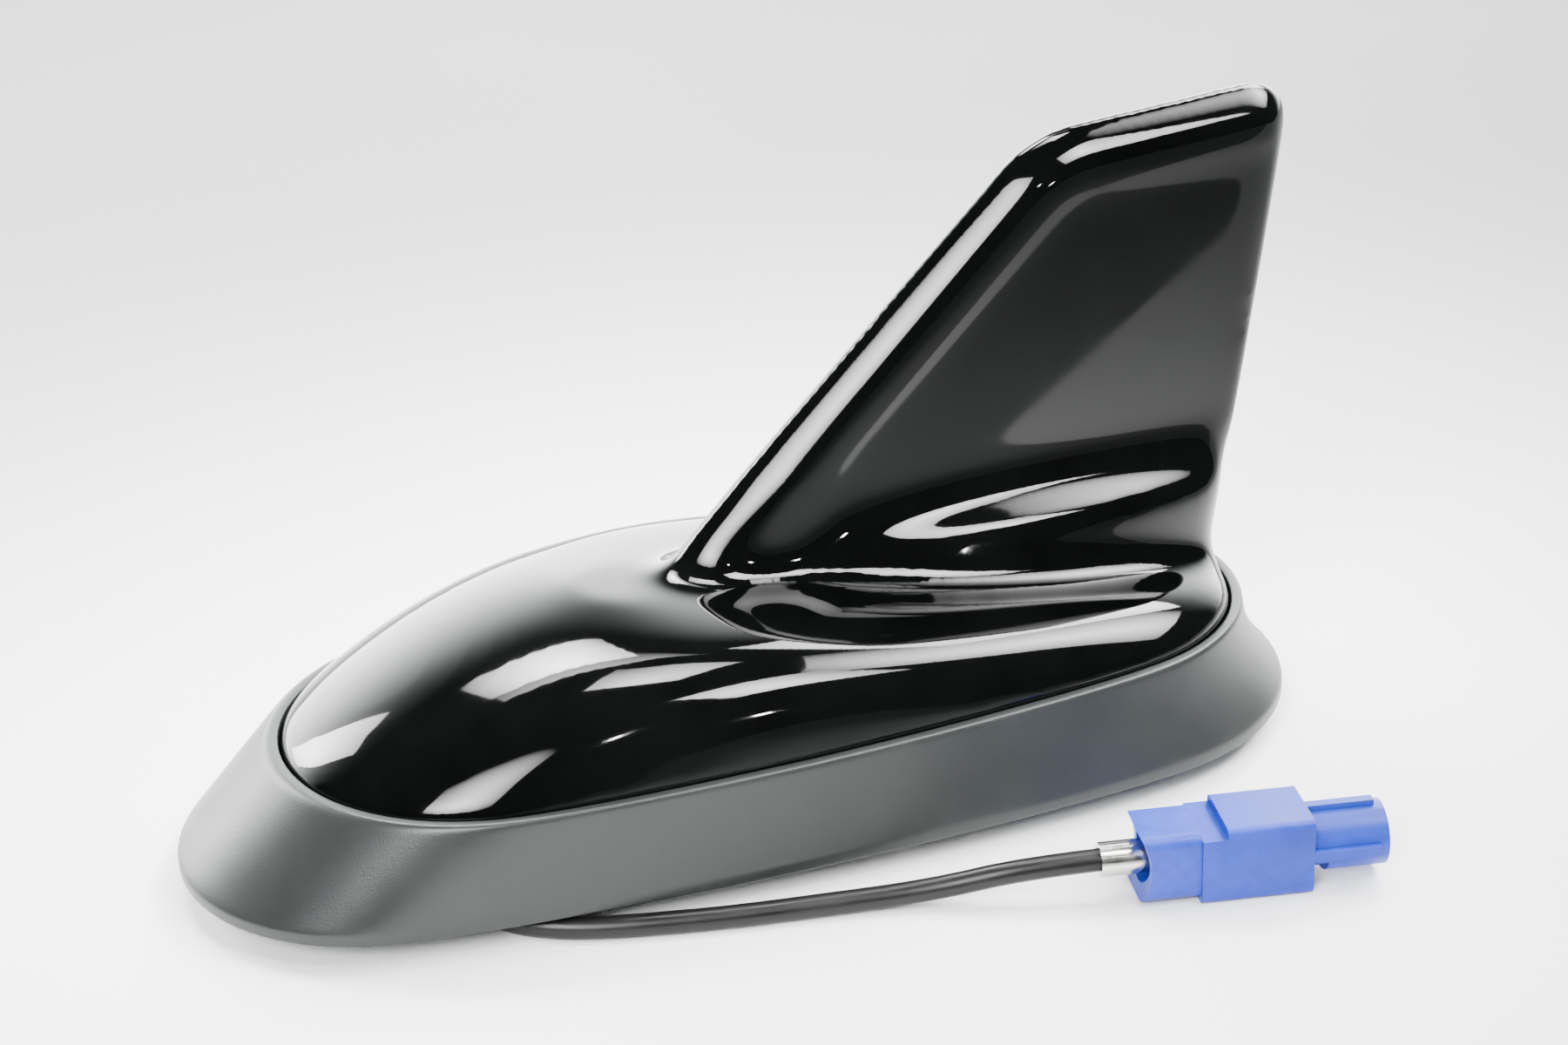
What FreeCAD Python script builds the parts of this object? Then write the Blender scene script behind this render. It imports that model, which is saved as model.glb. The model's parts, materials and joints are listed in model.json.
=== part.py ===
"""Roof fin antenna: gloss fin housing on a soft skirt and a die-cast base, with its short coax lead.

Frame in millimetres: the origin is on the axis of the roof bolt, in the plane of the roof skin.
X points to the tail of the car, Y to its right and Z up.
"""
import FreeCAD, Part
import Sketcher
import math
import os
import re

Vector = FreeCAD.Vector
doc = FreeCAD.newDocument("roof_fin_antenna")
sheet = doc.addObject("Spreadsheet::Sheet", "Sizes")

# Driving sizes
SIZES = {
    # skirt: outline on the roof, and the lip that holds the housing
    "skirt_length": 150.0, "skirt_width": 65.0, "skirt_nose_ratio": 0.83, "skirt_tail_ratio": 0.97,
    "skirt_edge": 1.6, "skirt_height": 13.4, "skirt_foot": 2.5, "skirt_opening_inset": 5.0,
    "skirt_tail_hollow": 1.6, "skirt_side_hollow": 0.4,
    "lip_nose_inset": 12.4, "lip_tail_inset": 5.9, "lip_side_inset": 2.1,
    "lip_nose_ratio": 0.94, "lip_tail_ratio": 0.92, "lip_wall": 1.6,
    "bead_inset": 3.4, "bead_width": 1.4, "bead_depth": 0.6,
    # clearances
    "fit_gap": 0.25, "bore_gap": 0.1,
    # hull of the housing: crest of the dome and how full its nose, tail and sides are
    "wall": 2.0, "crest_x": -20.0, "crest_height": 28.2, "deck_x": 55.0, "deck_height": 23.2,
    "crown_x": -17.8, "nose_rise_power": 1.14, "nose_round_power": 1.55, "tail_rise_power": 3.5,
    "tail_round_power": 1.0, "side_rise_power": 3.5, "side_round_power": 2.68, "tail_point_ratio": 0.30,
    "dome_nose_ratio": 0.93, "dome_tail_ratio": 0.95, "crown_ratio": 0.44,
    # spine under the fin
    "spine_front": -3.0, "spine_rear": 68.9, "spine_half_width": 10.4, "spine_top": 31.0,
    "spine_front_ratio": 0.5, "spine_rear_ratio": 0.83, "spine_flare": 1.2, "spine_edge_radius": 3.0,
    # fin: leading, top and trailing edges, rim and sunk side panels
    "fin_thickness": 9.0, "fin_height": 79.3, "lead_foot_x": -15.2, "lead_foot_height": 24.0,
    "lead_angle": 42.9, "top_angle": 4.3, "trail_foot_x": 66.1, "trail_foot_height": 16.0,
    "trail_angle": 11.5, "brow_radius": 16.0, "tip_radius": 5.6, "rim_radius": 4.1,
    "rim_width": 7.2, "panel_depth": 1.7, "panel_corner": 3.0, "panel_brow": 9.0,
    # base plate
    "plate_thickness": 3.0, "base_recess": 0.3, "spigot_radius": 13.0, "spigot_depth": 3.2,
    "boss_radius": 5.0, "boss_height": 6.0, "bolt_hole_radius": 2.5, "bolt_hole_depth": 11.5,
    "seal_offset": 1.2, "seal_width": 4.0, "seal_seat": 1.2,
    "gasket_thickness": 0.8,
    # screws that hold the housing
    "screw_nose_inset": 10.2, "screw_nose_y": 7.5, "screw_tail_inset": 23.2, "screw_tail_y": 15.0,
    "screw_radius": 1.45, "screw_length": 11.0, "screw_head_radius": 2.6, "screw_head_height": 1.9,
    "pillar_radius": 3.3, "pilot_spare": 1.0,
    # amplifier board and what it carries
    "board_nose_inset": 15.7, "board_rear": -12.4, "screw_strip": 5.3, "board_thickness": 1.6,
    "post_height": 3.0, "post_radius": 2.6, "post_inset": 2.9,
    "board_screw_radius": 1.1, "board_screw_length": 5.0,
    "board_screw_head_radius": 2.1, "board_screw_head_height": 1.5,
    "patch_ratio": 0.767, "patch_margin": 2.1, "patch_thickness": 4.0, "tape_thickness": 1.0,
    "tape_margin": 1.0, "feed_radius": 0.5, "feed_offset": 2.2,
    "feed_head_radius": 1.1, "feed_head_height": 0.3,
    "can_ratio": 0.55, "can_width": 14.0, "can_height": 2.4, "can_wall": 0.3,
    "chip_side": 2.4, "filter_length": 3.0, "filter_width": 2.6, "chip_height": 0.9, "chip_gap": 0.9,
    # coax lead, inside and outside
    "lead_diameter": 2.8, "duct_x": -8.6, "duct_bend": 4.0, "duct_radius": 2.7,
    "solder_x": -16.2, "clamp_length": 2.2, "clamp_width": 6.4, "clamp_wall": 1.0,
    "bush_flange_radius": 3.0, "bush_flange": 0.8, "bush_foot": 2.3, "slot_clearance": 0.3,
    # plug: place of its rear end, turn about Z, and its pieces along its own axis
    "plug_x": 28.9, "plug_y": -48.1, "plug_turn": -14.7, "plug_height": 9.8, "plug_width": 9.4,
    "block_start": 8.0, "block_length": 13.5, "nose_radius": 3.95, "nose_length": 9.4, "plug_corner": 0.9,
    "sleeve_side": 8.6, "sleeve_corner": 1.4, "mouth_radius": 8.4, "mouth_depth": 2.0,
    "plug_step_length": 3.0, "plug_step_height": 1.2, "plug_wall": 1.1,
    "key_width": 1.2, "key_height": 0.7, "window_width": 2.4, "window_length": 2.1,
    "ferrule_radius": 2.1, "ferrule_start": -3.4, "lead_grip": 3.0, "block_wall": 4.0, "mouth_bore": 3.2,
    "contact_wall": 0.4, "contact_recess": 1.4, "insulator_length": 15.0, "pin_radius": 0.5,
    "pin_length": 18.5,
}
# Shares of the dome's height at which its outline is drawn
DOME_LEVELS = (0.2, 0.42, 0.62, 0.78, 0.9, 0.97)
# Turns, in degrees, at which the rounded edge of the spine is drawn
EDGE_TURNS = (0, 30, 60, 85)
# Chosen points of the free lead: where it lies, and how far its line is above the spigot's end face
LEAD_ROUTE = [(-20.5, 0.0, 1.4), (-29.7, 2.3, 1.4), (-39.0, -1.9, 1.4), (-44.1, -10.8, 1.4),
              (-42.9, -20.9, 1.4), (-36.0, -28.4, 1.4), (-18.0, -34.2, 1.4), (-5.0, -37.0, 1.4),
              (7.0, -40.4, 2.0)]
# Length of the lead's last straight run before its ferrule
LEAD_INTO_PLUG = 8.0
# Share of the shorter run that an arc of the lead takes up
ARC_SHARE = 0.48
# How near a point lies to count as on a given face or corner
CLOSE = 0.01

for row, (alias, number) in enumerate(SIZES.items(), start=1):
    sheet.set(f"A{row}", alias)
    sheet.set(f"B{row}", str(number))
    sheet.setAlias(f"B{row}", alias)
doc.recompute()


def formula(text):
    """Write the sheet's name before each size in an expression."""
    return re.sub(r"[a-z]\w*", lambda m: "Sizes." + m[0] if m[0] in SIZES else m[0], str(text))


def value(text):
    """The number that an expression of sizes comes to."""
    return float(sheet.evalExpression(formula(text)))


def bind(thing, **paths):
    for path, text in paths.items():
        thing.setExpression(path.replace("__", "."), formula(text))
    return thing


# Basic solids and bodies

def box(name, length, width, height, x, y, z):
    """A block centred on x and y that stands on z."""
    solid = doc.addObject("Part::Box", name)
    return bind(solid, Length=length, Width=width, Height=height,
                Placement__Base__x=f"{x} - ({length}) / 2", Placement__Base__y=f"{y} - ({width}) / 2",
                Placement__Base__z=z)


def cylinder(name, radius, height, x, y, z):
    solid = doc.addObject("Part::Cylinder", name)
    return bind(solid, Radius=radius, Height=height, Placement__Base__x=x, Placement__Base__y=y,
                Placement__Base__z=z)


def joined(name, solids):
    union = doc.addObject("Part::MultiFuse", name)
    union.Shapes = solids
    return union


def cut(name, base, tool):
    result = doc.addObject("Part::Cut", name)
    result.Base = base
    result.Tool = tool
    return result


def new_body(name):
    return doc.addObject("PartDesign::Body", name)


def new_sketch(body, name, role, offset):
    """A sketch on one of the body's own planes, moved along that plane's normal."""
    sketch = body.newObject("Sketcher::SketchObject", name)
    plane = [p for p in body.Origin.OriginFeatures if p.Role == role][0]
    sketch.AttachmentSupport = (plane, "")
    sketch.MapMode = "FlatFace"
    return bind(sketch, AttachmentOffset__Base__z=offset)


def size_constraint(sketch, kind, *places, text):
    index = sketch.addConstraint(Sketcher.Constraint(kind, *places, value(text)))
    sketch.setExpression(f"Constraints[{index}]", formula(text))


def pad(body, name, sketch, length, reverse=False):
    feature = body.newObject("PartDesign::Pad", name)
    feature.Profile = sketch
    feature.Reversed = reverse
    return bind(feature, Length=length)


def pocket(body, name, sketch, length, reverse=False):
    feature = body.newObject("PartDesign::Pocket", name)
    feature.Profile = sketch
    feature.Reversed = reverse
    return bind(feature, Length=length)


def loft(body, name, sketches, ruled=False):
    feature = body.newObject("PartDesign::AdditiveLoft", name)
    feature.Profile = sketches[0]
    feature.Sections = sketches[1:]
    feature.Ruled = ruled


def circles(sketch, *radii):
    """Circles about the sketch's origin."""
    for radius in radii:
        index = sketch.addGeometry(Part.Circle(Vector(0, 0, 0), Vector(0, 0, 1), value(radius)))
        sketch.addConstraint(Sketcher.Constraint("Coincident", index, 3, -1, 1))
        size_constraint(sketch, "Radius", index, text=radius)


def dots(sketch, radius, places):
    """Circles of one radius at places given as pairs of expressions."""
    for x, y in places:
        centre = Vector(value(x), value(y), 0)
        index = sketch.addGeometry(Part.Circle(centre, Vector(0, 0, 1), value(radius)))
        size_constraint(sketch, "DistanceX", -1, 1, index, 3, text=x)
        size_constraint(sketch, "DistanceY", -1, 1, index, 3, text=y)
        size_constraint(sketch, "Radius", index, text=radius)


def corner_box(sketch, left, right, low, high):
    """A rectangle between four sizes along the sketch's own axes."""
    x0, x1, y0, y1 = value(left), value(right), value(low), value(high)
    corners = [Vector(x0, y0, 0), Vector(x1, y0, 0), Vector(x1, y1, 0), Vector(x0, y1, 0)]
    first = sketch.GeometryCount
    for i in range(4):
        sketch.addGeometry(Part.LineSegment(corners[i], corners[(i + 1) % 4]))
    for i in range(4):
        sketch.addConstraint(Sketcher.Constraint("Coincident", first + i, 2, first + (i + 1) % 4, 1))
        sketch.addConstraint(Sketcher.Constraint("Vertical" if i % 2 else "Horizontal", first + i))
    size_constraint(sketch, "DistanceX", -1, 1, first, 1, text=left)
    size_constraint(sketch, "DistanceX", -1, 1, first + 1, 2, text=right)
    size_constraint(sketch, "DistanceY", -1, 1, first, 1, text=low)
    size_constraint(sketch, "DistanceY", -1, 1, first + 1, 2, text=high)


# Boat outlines: a nose arc and a tail arc joined by two side arcs, all tangent

class Outline:
    """A boat outline as expressions of the sheet's sizes."""

    def __init__(self, nose, tail, half_width, nose_radius, tail_radius):
        self.nose, self.tail, self.half_width = nose, tail, half_width
        self.nose_radius, self.tail_radius = nose_radius, tail_radius

    def inset(self, step):
        return Outline(f"({self.nose}) + ({step})", f"({self.tail}) - ({step})",
                       f"({self.half_width}) - ({step})", f"({self.nose_radius}) - ({step})",
                       f"({self.tail_radius}) - ({step})")


def side_arc(nose_x, tail_x, half, nose_r, tail_r):
    """Radius and middle of the side arc that touches both end arcs at the given half width."""
    def reach(radius, end_radius):
        return math.sqrt(max((half - end_radius) * (2 * radius - end_radius - half), 0.0))

    low, high = half, 1e5
    for _ in range(100):
        middle = (low + high) / 2
        if reach(middle, nose_r) + reach(middle, tail_r) < tail_x - nose_x:
            low = middle
        else:
            high = middle
    return low, nose_x + reach(low, nose_r)


def add_outline(sketch, outline):
    """Draw an outline, fully constrained and bound to the sheet."""
    half, nose_r, tail_r = value(outline.half_width), value(outline.nose_radius), value(outline.tail_radius)
    nose_x, tail_x = value(outline.nose) + nose_r, value(outline.tail) - tail_r
    radius, middle = side_arc(nose_x, tail_x, half, nose_r, tail_r)
    rise = radius - half
    to_nose, to_tail = math.atan2(rise, nose_x - middle), math.atan2(rise, tail_x - middle)

    def arc(x, y, r, start, end):
        circle = Part.Circle(Vector(x, y, 0), Vector(0, 0, 1), r)
        return sketch.addGeometry(Part.ArcOfCircle(circle, start, end))

    nose = arc(nose_x, 0, nose_r, to_nose, 2 * math.pi - to_nose)
    left = arc(middle, rise, radius, -to_nose, -to_tail)
    tail = arc(tail_x, 0, tail_r, -to_tail, to_tail)
    right = arc(middle, -rise, radius, to_tail, to_nose)
    for first, second in ((nose, left), (left, tail), (tail, right), (right, nose)):
        sketch.addConstraint(Sketcher.Constraint("Tangent", first, 2, second, 1))
    sketch.addConstraint(Sketcher.Constraint("PointOnObject", nose, 3, -1))
    sketch.addConstraint(Sketcher.Constraint("PointOnObject", tail, 3, -1))
    sketch.addConstraint(Sketcher.Constraint("Equal", left, right))
    size_constraint(sketch, "DistanceX", -1, 1, nose, 3, text=f"{outline.nose} + ({outline.nose_radius})")
    size_constraint(sketch, "DistanceX", -1, 1, tail, 3, text=f"{outline.tail} - ({outline.tail_radius})")
    size_constraint(sketch, "Radius", nose, text=outline.nose_radius)
    size_constraint(sketch, "Radius", tail, text=outline.tail_radius)
    beam = sketch.addGeometry(Part.LineSegment(Vector(middle, -rise, 0), Vector(middle, half, 0)), True)
    sketch.addConstraint(Sketcher.Constraint("Coincident", beam, 1, right, 3))
    sketch.addConstraint(Sketcher.Constraint("PointOnObject", beam, 2, right))
    sketch.addConstraint(Sketcher.Constraint("Vertical", beam))
    size_constraint(sketch, "DistanceY", -1, 1, beam, 2, text=outline.half_width)


def outline_sketch(body, name, height, *outlines):
    sketch = new_sketch(body, name, "XY_Plane", height)
    for outline in outlines:
        add_outline(sketch, outline)
    return sketch


LIP_HALF = "(skirt_width / 2 - lip_side_inset)"
SKIRT = Outline("-skirt_length / 2", "skirt_length / 2", "skirt_width / 2",
                "skirt_nose_ratio * skirt_width / 2", "skirt_tail_ratio * skirt_width / 2")
LIP = Outline("lip_nose_inset - skirt_length / 2", "skirt_length / 2 - lip_tail_inset", LIP_HALF,
              f"lip_nose_ratio * {LIP_HALF}", f"lip_tail_ratio * {LIP_HALF}")
WAIST = Outline(f"({SKIRT.nose} + {LIP.nose}) / 2", f"({SKIRT.tail} + {LIP.tail}) / 2 - skirt_tail_hollow",
                f"({SKIRT.half_width} + {LIP_HALF}) / 2 - skirt_side_hollow",
                f"({SKIRT.nose_radius} + {LIP.nose_radius}) / 2",
                f"({SKIRT.tail_radius} + {LIP.tail_radius}) / 2")
SEAT = LIP.inset("lip_wall")
HULL = LIP.inset("lip_wall + fit_gap")
OPENING = LIP.inset("lip_wall + skirt_opening_inset")
SPINE = Outline("spine_front", "spine_rear", "spine_half_width",
                "spine_front_ratio * spine_half_width", "spine_rear_ratio * spine_half_width")

PLATE_TOP = "(skirt_foot + plate_thickness)"
RIM_FOOT = f"({PLATE_TOP} + gasket_thickness)"
SPIGOT_END = "(-spigot_depth)"
SEAL_INNER = "(spigot_radius + seal_offset)"
BOARD_FOOT = f"({PLATE_TOP} + post_height)"
BOARD_TOP = f"({BOARD_FOOT} + board_thickness)"
PATCH_FOOT = f"({BOARD_TOP} + tape_thickness)"
FIN_TIP_X = "(trail_foot_x + (fin_height - trail_foot_height) * tan(trail_angle * 1 deg))"
SCREW_FRONT, SCREW_REAR = f"{HULL.nose} + screw_nose_inset", f"{HULL.tail} - screw_tail_inset"
SCREWS = [(SCREW_FRONT, "screw_nose_y"), (SCREW_FRONT, "-screw_nose_y"),
          (SCREW_REAR, "screw_tail_y"), (SCREW_REAR, "-screw_tail_y")]
BOARD_FRONT = f"({HULL.nose} + board_nose_inset)"
BOARD_LENGTH = f"(board_rear - {BOARD_FRONT})"
PATCH_SIDE = f"(patch_ratio * {BOARD_LENGTH})"
PATCH_X = f"({BOARD_FRONT} + patch_margin + {PATCH_SIDE} / 2)"
CAN_LENGTH = f"(can_ratio * {BOARD_LENGTH})"
BOARD_WIDTH = f"({PATCH_SIDE} + 2 * screw_strip)"
BOARD_SCREWS = [(x, y) for x in (f"{BOARD_FRONT} + post_inset", "board_rear - post_inset")
                for y in (f"{BOARD_WIDTH} / 2 - post_inset", f"post_inset - {BOARD_WIDTH} / 2")]


# Soft skirt

def make_skirt():
    body = new_body("skirt")
    pad(body, "skirt_edge_band", outline_sketch(body, "skirt_outline", 0, SKIRT), "skirt_edge")
    loft(body, "skirt_flare", [outline_sketch(body, "skirt_shoulder", "skirt_edge", SKIRT),
                               outline_sketch(body, "skirt_waist", "(skirt_edge + skirt_height) / 2", WAIST),
                               outline_sketch(body, "skirt_lip", "skirt_height", LIP)])
    pocket(body, "housing_seat", outline_sketch(body, "seat_outline", "skirt_height", SEAT),
           "skirt_height - skirt_foot")
    opening = outline_sketch(body, "opening_outline", "skirt_foot", OPENING)
    pocket(body, "foot_opening", opening, "skirt_foot")
    groove = outline_sketch(body, "bead_outline", 0, SKIRT.inset("bead_inset"),
                            SKIRT.inset("bead_inset + bead_width"))
    pocket(body, "sealing_groove", groove, "bead_depth", reverse=True)


# Gloss housing: hull, spine and fin moulded as one

def dome_section(body, name, share, thickness):
    """One outline of the dome: smaller the higher it lies, in a plane that falls towards the tail."""
    foot = HULL.inset(thickness)

    def reach(end):
        return f"pow(1 - pow({share}; {end}_rise_power); 1 / {end}_round_power)"

    nose = f"crown_x - (crown_x - ({foot.nose})) * {reach('nose')}"
    tail = f"crown_x + ({foot.tail} - crown_x) * {reach('tail')}"
    side = f"({foot.half_width}) * {reach('side')}"
    half = f"min({side}; crown_ratio * (({tail}) - ({nose})))"
    outline = Outline(nose, tail, half, f"dome_nose_ratio * ({half})",
                      f"({half}) * (dome_tail_ratio - tail_point_ratio * {share})")
    fall = "(crest_height - deck_height) / (deck_x - crest_x)"
    height = f"skirt_height + (crest_height + crest_x * {fall} - {thickness} - skirt_height) * {share}"
    sketch = outline_sketch(body, name, height, outline)
    turn = FreeCAD.Rotation(Vector(0, 1, 0), value(f"atan({fall} * {share})"))
    sketch.AttachmentOffset = FreeCAD.Placement(Vector(0, 0, value(height)), turn)
    return bind(sketch, AttachmentOffset__Rotation__Angle=f"atan({fall} * {share})")


def dome(name, thickness, ruled=False):
    """The hull, or with a wall thickness the room inside it."""
    body = new_body(name)
    pad(body, f"{name}_wall", outline_sketch(body, f"{name}_foot", RIM_FOOT, HULL.inset(thickness)),
        f"skirt_height - {RIM_FOOT}")
    sections = [outline_sketch(body, f"{name}_shoulder", "skirt_height", HULL.inset(thickness))]
    for i, share in enumerate(DOME_LEVELS):
        sections.append(dome_section(body, f"{name}_level_{i}", share, thickness))
    loft(body, f"{name}_dome", sections, ruled)
    return body


def spine(name, thickness):
    """The raised back that carries the fin, or with a wall thickness the room inside it."""
    body = new_body(name)
    shoulder = f"spine_top - {thickness} - spine_edge_radius"
    lean = f"({shoulder} - {RIM_FOOT}) * tan(trail_angle * 1 deg)"
    foot = Outline(SPINE.nose, f"{SPINE.tail} - {lean}", SPINE.half_width, SPINE.nose_radius,
                   SPINE.tail_radius)
    loft(body, f"{name}_sides",
         [outline_sketch(body, f"{name}_foot", RIM_FOOT, foot.inset(f"{thickness} - spine_flare")),
          outline_sketch(body, f"{name}_shoulder", shoulder, SPINE.inset(thickness))])
    rounding = []
    for i, turn in enumerate(EDGE_TURNS):
        step = f"{thickness} + spine_edge_radius * (1 - cos({turn} deg))"
        height = f"{shoulder} + spine_edge_radius * sin({turn} deg)"
        rounding.append(outline_sketch(body, f"{name}_round_{i}", height, SPINE.inset(step)))
    loft(body, f"{name}_edge", rounding)
    return body


def edges_where(shape, test):
    """Names of the edges whose every sampled point passes a test."""
    names = []
    for i, edge in enumerate(shape.Edges, start=1):
        if all(test(p) for p in edge.discretize(7)):
            names.append(f"Edge{i}")
    return names


def round_edges(body, name, base, test, radius):
    doc.recompute()
    feature = body.newObject("PartDesign::Fillet", name)
    feature.Base = (base, edges_where(base.Shape, test))
    return bind(feature, Radius=radius)


def near(x, z):
    """A test for edges across the fin at one corner of its side view."""
    return lambda p: abs(p.x - x) < CLOSE and abs(p.z - z) < CLOSE


def fin_view(body, name, offset, foot, tip, tail):
    """A side view with the fin's leading and top slopes, and the place of its brow corner."""
    sketch = new_sketch(body, name, "XZ_Plane", offset)
    lead, top = (math.tan(math.radians(value(a))) for a in ("lead_angle", "top_angle"))
    (foot_x, foot_z), (tip_x, tip_z), (tail_x, tail_z) = ([value(t) for t in c] for c in (foot, tip, tail))
    run = (tip_z - foot_z - (tip_x - foot_x) * top) / (lead - top)
    brow = (foot_x + run, foot_z + run * lead)
    corners = [Vector(x, z, 0) for x, z in ((foot_x, foot_z), brow, (tip_x, tip_z), (tail_x, tail_z))]
    for i in range(4):
        sketch.addGeometry(Part.LineSegment(corners[i], corners[(i + 1) % 4]))
    for i in range(4):
        sketch.addConstraint(Sketcher.Constraint("Coincident", i, 2, (i + 1) % 4, 1))
    for line, place in ((0, foot), (2, tip), (3, tail)):
        size_constraint(sketch, "DistanceX", -1, 1, line, 1, text=place[0])
        size_constraint(sketch, "DistanceY", -1, 1, line, 1, text=place[1])
    for line, angle in ((0, "lead_angle"), (1, "top_angle")):
        index = sketch.addConstraint(Sketcher.Constraint("Angle", line, math.radians(value(angle))))
        sketch.setExpression(f"Constraints[{index}]", formula(f"{angle} * 1 deg"))
    return sketch, brow


def make_fin():
    """The fin as a pad of its side view, with a rounded rim and a sunk panel on each side."""
    body = new_body("fin")
    foot = ("lead_foot_x", "lead_foot_height")
    tip = (FIN_TIP_X, "fin_height")
    view, brow = fin_view(body, "fin_side_view", 0, foot, tip, ("trail_foot_x", "trail_foot_height"))
    blade = pad(body, "fin_blade", view, "fin_thickness")
    blade.Midplane = True
    half = value("fin_thickness / 2")
    shaped = round_edges(body, "brow_rounding", blade, near(*brow), "brow_radius")
    corner = near(value(FIN_TIP_X), value("fin_height"))
    shaped = round_edges(body, "tip_rounding", shaped, corner, "tip_radius")
    shaped = round_edges(body, "rim_rounding", shaped, lambda p: abs(p.y) > half - CLOSE
                         and p.z > value("fin_height - tip_radius") - CLOSE, "rim_radius")
    panel_foot = ("lead_foot_x + (spine_top - lead_foot_height) / tan(lead_angle * 1 deg)"
                  " + rim_width / sin(lead_angle * 1 deg)", "spine_top")
    panel_rear = f"{FIN_TIP_X} + rim_width"
    panel_tip = (panel_rear, "fin_height - rim_width / cos(top_angle * 1 deg)"
                 " + rim_width * tan(top_angle * 1 deg)")
    panel_tail = (panel_rear, "spine_top")
    for side, offset in (("left", "fin_thickness / 2"), ("right", "-fin_thickness / 2")):
        view, brow = fin_view(body, f"panel_view_{side}", offset, panel_foot, panel_tip, panel_tail)
        pocket(body, f"panel_{side}", view, "panel_depth", reverse=side == "right")
    corner = near(value(panel_foot[0]), value(panel_foot[1]))
    shaped = round_edges(body, "panel_corners", body.Tip, corner, "panel_corner")
    shaped = round_edges(body, "panel_brows", shaped, near(*brow), "panel_brow")
    return body


def make_housing():
    hull = dome("hull", "0")
    outside = joined("housing_outside", [hull, spine("spine", "0"), make_fin()])
    inside = joined("housing_inside", [dome("hull_room", "wall", ruled=True), spine("spine_room", "wall")])
    shell = cut("housing_shell", outside, inside)
    columns = [cylinder(f"column_{i}", "pillar_radius", f"crest_height - {RIM_FOOT}", x, y, RIM_FOOT)
               for i, (x, y) in enumerate(SCREWS)]
    pillars = doc.addObject("Part::MultiCommon", "pillars")
    pillars.Shapes = [joined("columns", columns), hull]
    feet = [cylinder(f"column_foot_{i}", "pillar_radius", "gasket_thickness + wall", x, y, PLATE_TOP)
            for i, (x, y) in enumerate(SCREWS)]
    pilots = [cylinder(f"pilot_{i}", "screw_radius + bore_gap / 2", "screw_length + pilot_spare", x, y,
                       "skirt_foot") for i, (x, y) in enumerate(SCREWS)]
    cut("fin_housing", joined("housing_moulding", [shell, pillars] + feet), joined("pilots", pilots))


# Die-cast base, its seals and the screws from below

def make_base():
    body = new_body("base_plate")
    pad(body, "plate", outline_sketch(body, "plate_outline", "skirt_foot", HULL), "plate_thickness")
    underside = outline_sketch(body, "underside_outline", "base_recess", OPENING.inset("fit_gap"))
    pad(body, "underside", underside, "skirt_foot - base_recess")
    spigot = new_sketch(body, "spigot_circle", "XY_Plane", SPIGOT_END)
    circles(spigot, "spigot_radius")
    pad(body, "spigot", spigot, "spigot_depth + base_recess")
    boss = new_sketch(body, "boss_circle", "XY_Plane", PLATE_TOP)
    circles(boss, "boss_radius")
    pad(body, "bolt_boss", boss, "boss_height")
    posts = new_sketch(body, "post_circles", "XY_Plane", PLATE_TOP)
    dots(posts, "post_radius", BOARD_SCREWS)
    pad(body, "board_posts", posts, "post_height")
    bolt = new_sketch(body, "bolt_circle", "XY_Plane", SPIGOT_END)
    circles(bolt, "bolt_hole_radius")
    pocket(body, "bolt_hole", bolt, "bolt_hole_depth", reverse=True)
    seat = new_sketch(body, "seal_circles", "XY_Plane", "base_recess")
    circles(seat, SEAL_INNER, f"{SEAL_INNER} + seal_width")
    pocket(body, "seal_groove", seat, "seal_seat", reverse=True)
    holes = new_sketch(body, "screw_circles", "XY_Plane", PLATE_TOP)
    dots(holes, "screw_radius + fit_gap", SCREWS)
    pocket(body, "screw_holes", holes, f"{PLATE_TOP} - base_recess")
    heads = new_sketch(body, "head_circles", "XY_Plane", "base_recess")
    dots(heads, "screw_head_radius + fit_gap", SCREWS)
    pocket(body, "head_recesses", heads, "screw_head_height", reverse=True)
    pilots = new_sketch(body, "pilot_circles", "XY_Plane", BOARD_FOOT)
    dots(pilots, "board_screw_radius + bore_gap", BOARD_SCREWS)
    pocket(body, "post_pilots", pilots, "board_screw_length - board_thickness + bore_gap")
    duct = new_sketch(body, "duct_circle", "XY_Plane", PLATE_TOP)
    dots(duct, "duct_radius", [("duct_x", "0")])
    pocket(body, "duct", duct, f"{PLATE_TOP} - bush_foot")
    slot = new_sketch(body, "slot_outline", "XY_Plane", SPIGOT_END)
    reach = "lead_diameter / 2 + slot_clearance"
    corner_box(slot, "-spigot_radius - slot_clearance", f"duct_x + {reach}", f"-({reach})", reach)
    pocket(body, "lead_slot", slot, "spigot_depth + bush_foot", reverse=True)

    ring = new_body("roof_seal")
    band = new_sketch(ring, "roof_seal_circles", "XY_Plane", 0)
    circles(band, f"{SEAL_INNER} + bore_gap", f"{SEAL_INNER} + seal_width - bore_gap")
    pad(ring, "roof_seal_ring", band, "base_recess + seal_seat")

    gasket = new_body("housing_gasket")
    band = outline_sketch(gasket, "gasket_outlines", PLATE_TOP, HULL.inset("bore_gap"), HULL.inset("wall"))
    pad(gasket, "gasket_ring", band, "gasket_thickness")


def screw(name, place, seat, shaft, length, head, height, upward):
    """A pan-head screw whose head sits on a seat, with its shaft up or down from there."""
    x, y = place
    stem = cylinder(f"{name}_shaft", shaft, length, x, y, seat if upward else f"{seat} - ({length})")
    cap = cylinder(f"{name}_head", head, height, x, y, f"{seat} - ({height})" if upward else seat)
    return joined(name, [stem, cap])


def group(name, solids):
    compound = doc.addObject("Part::Compound", name)
    compound.Links = solids


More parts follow.
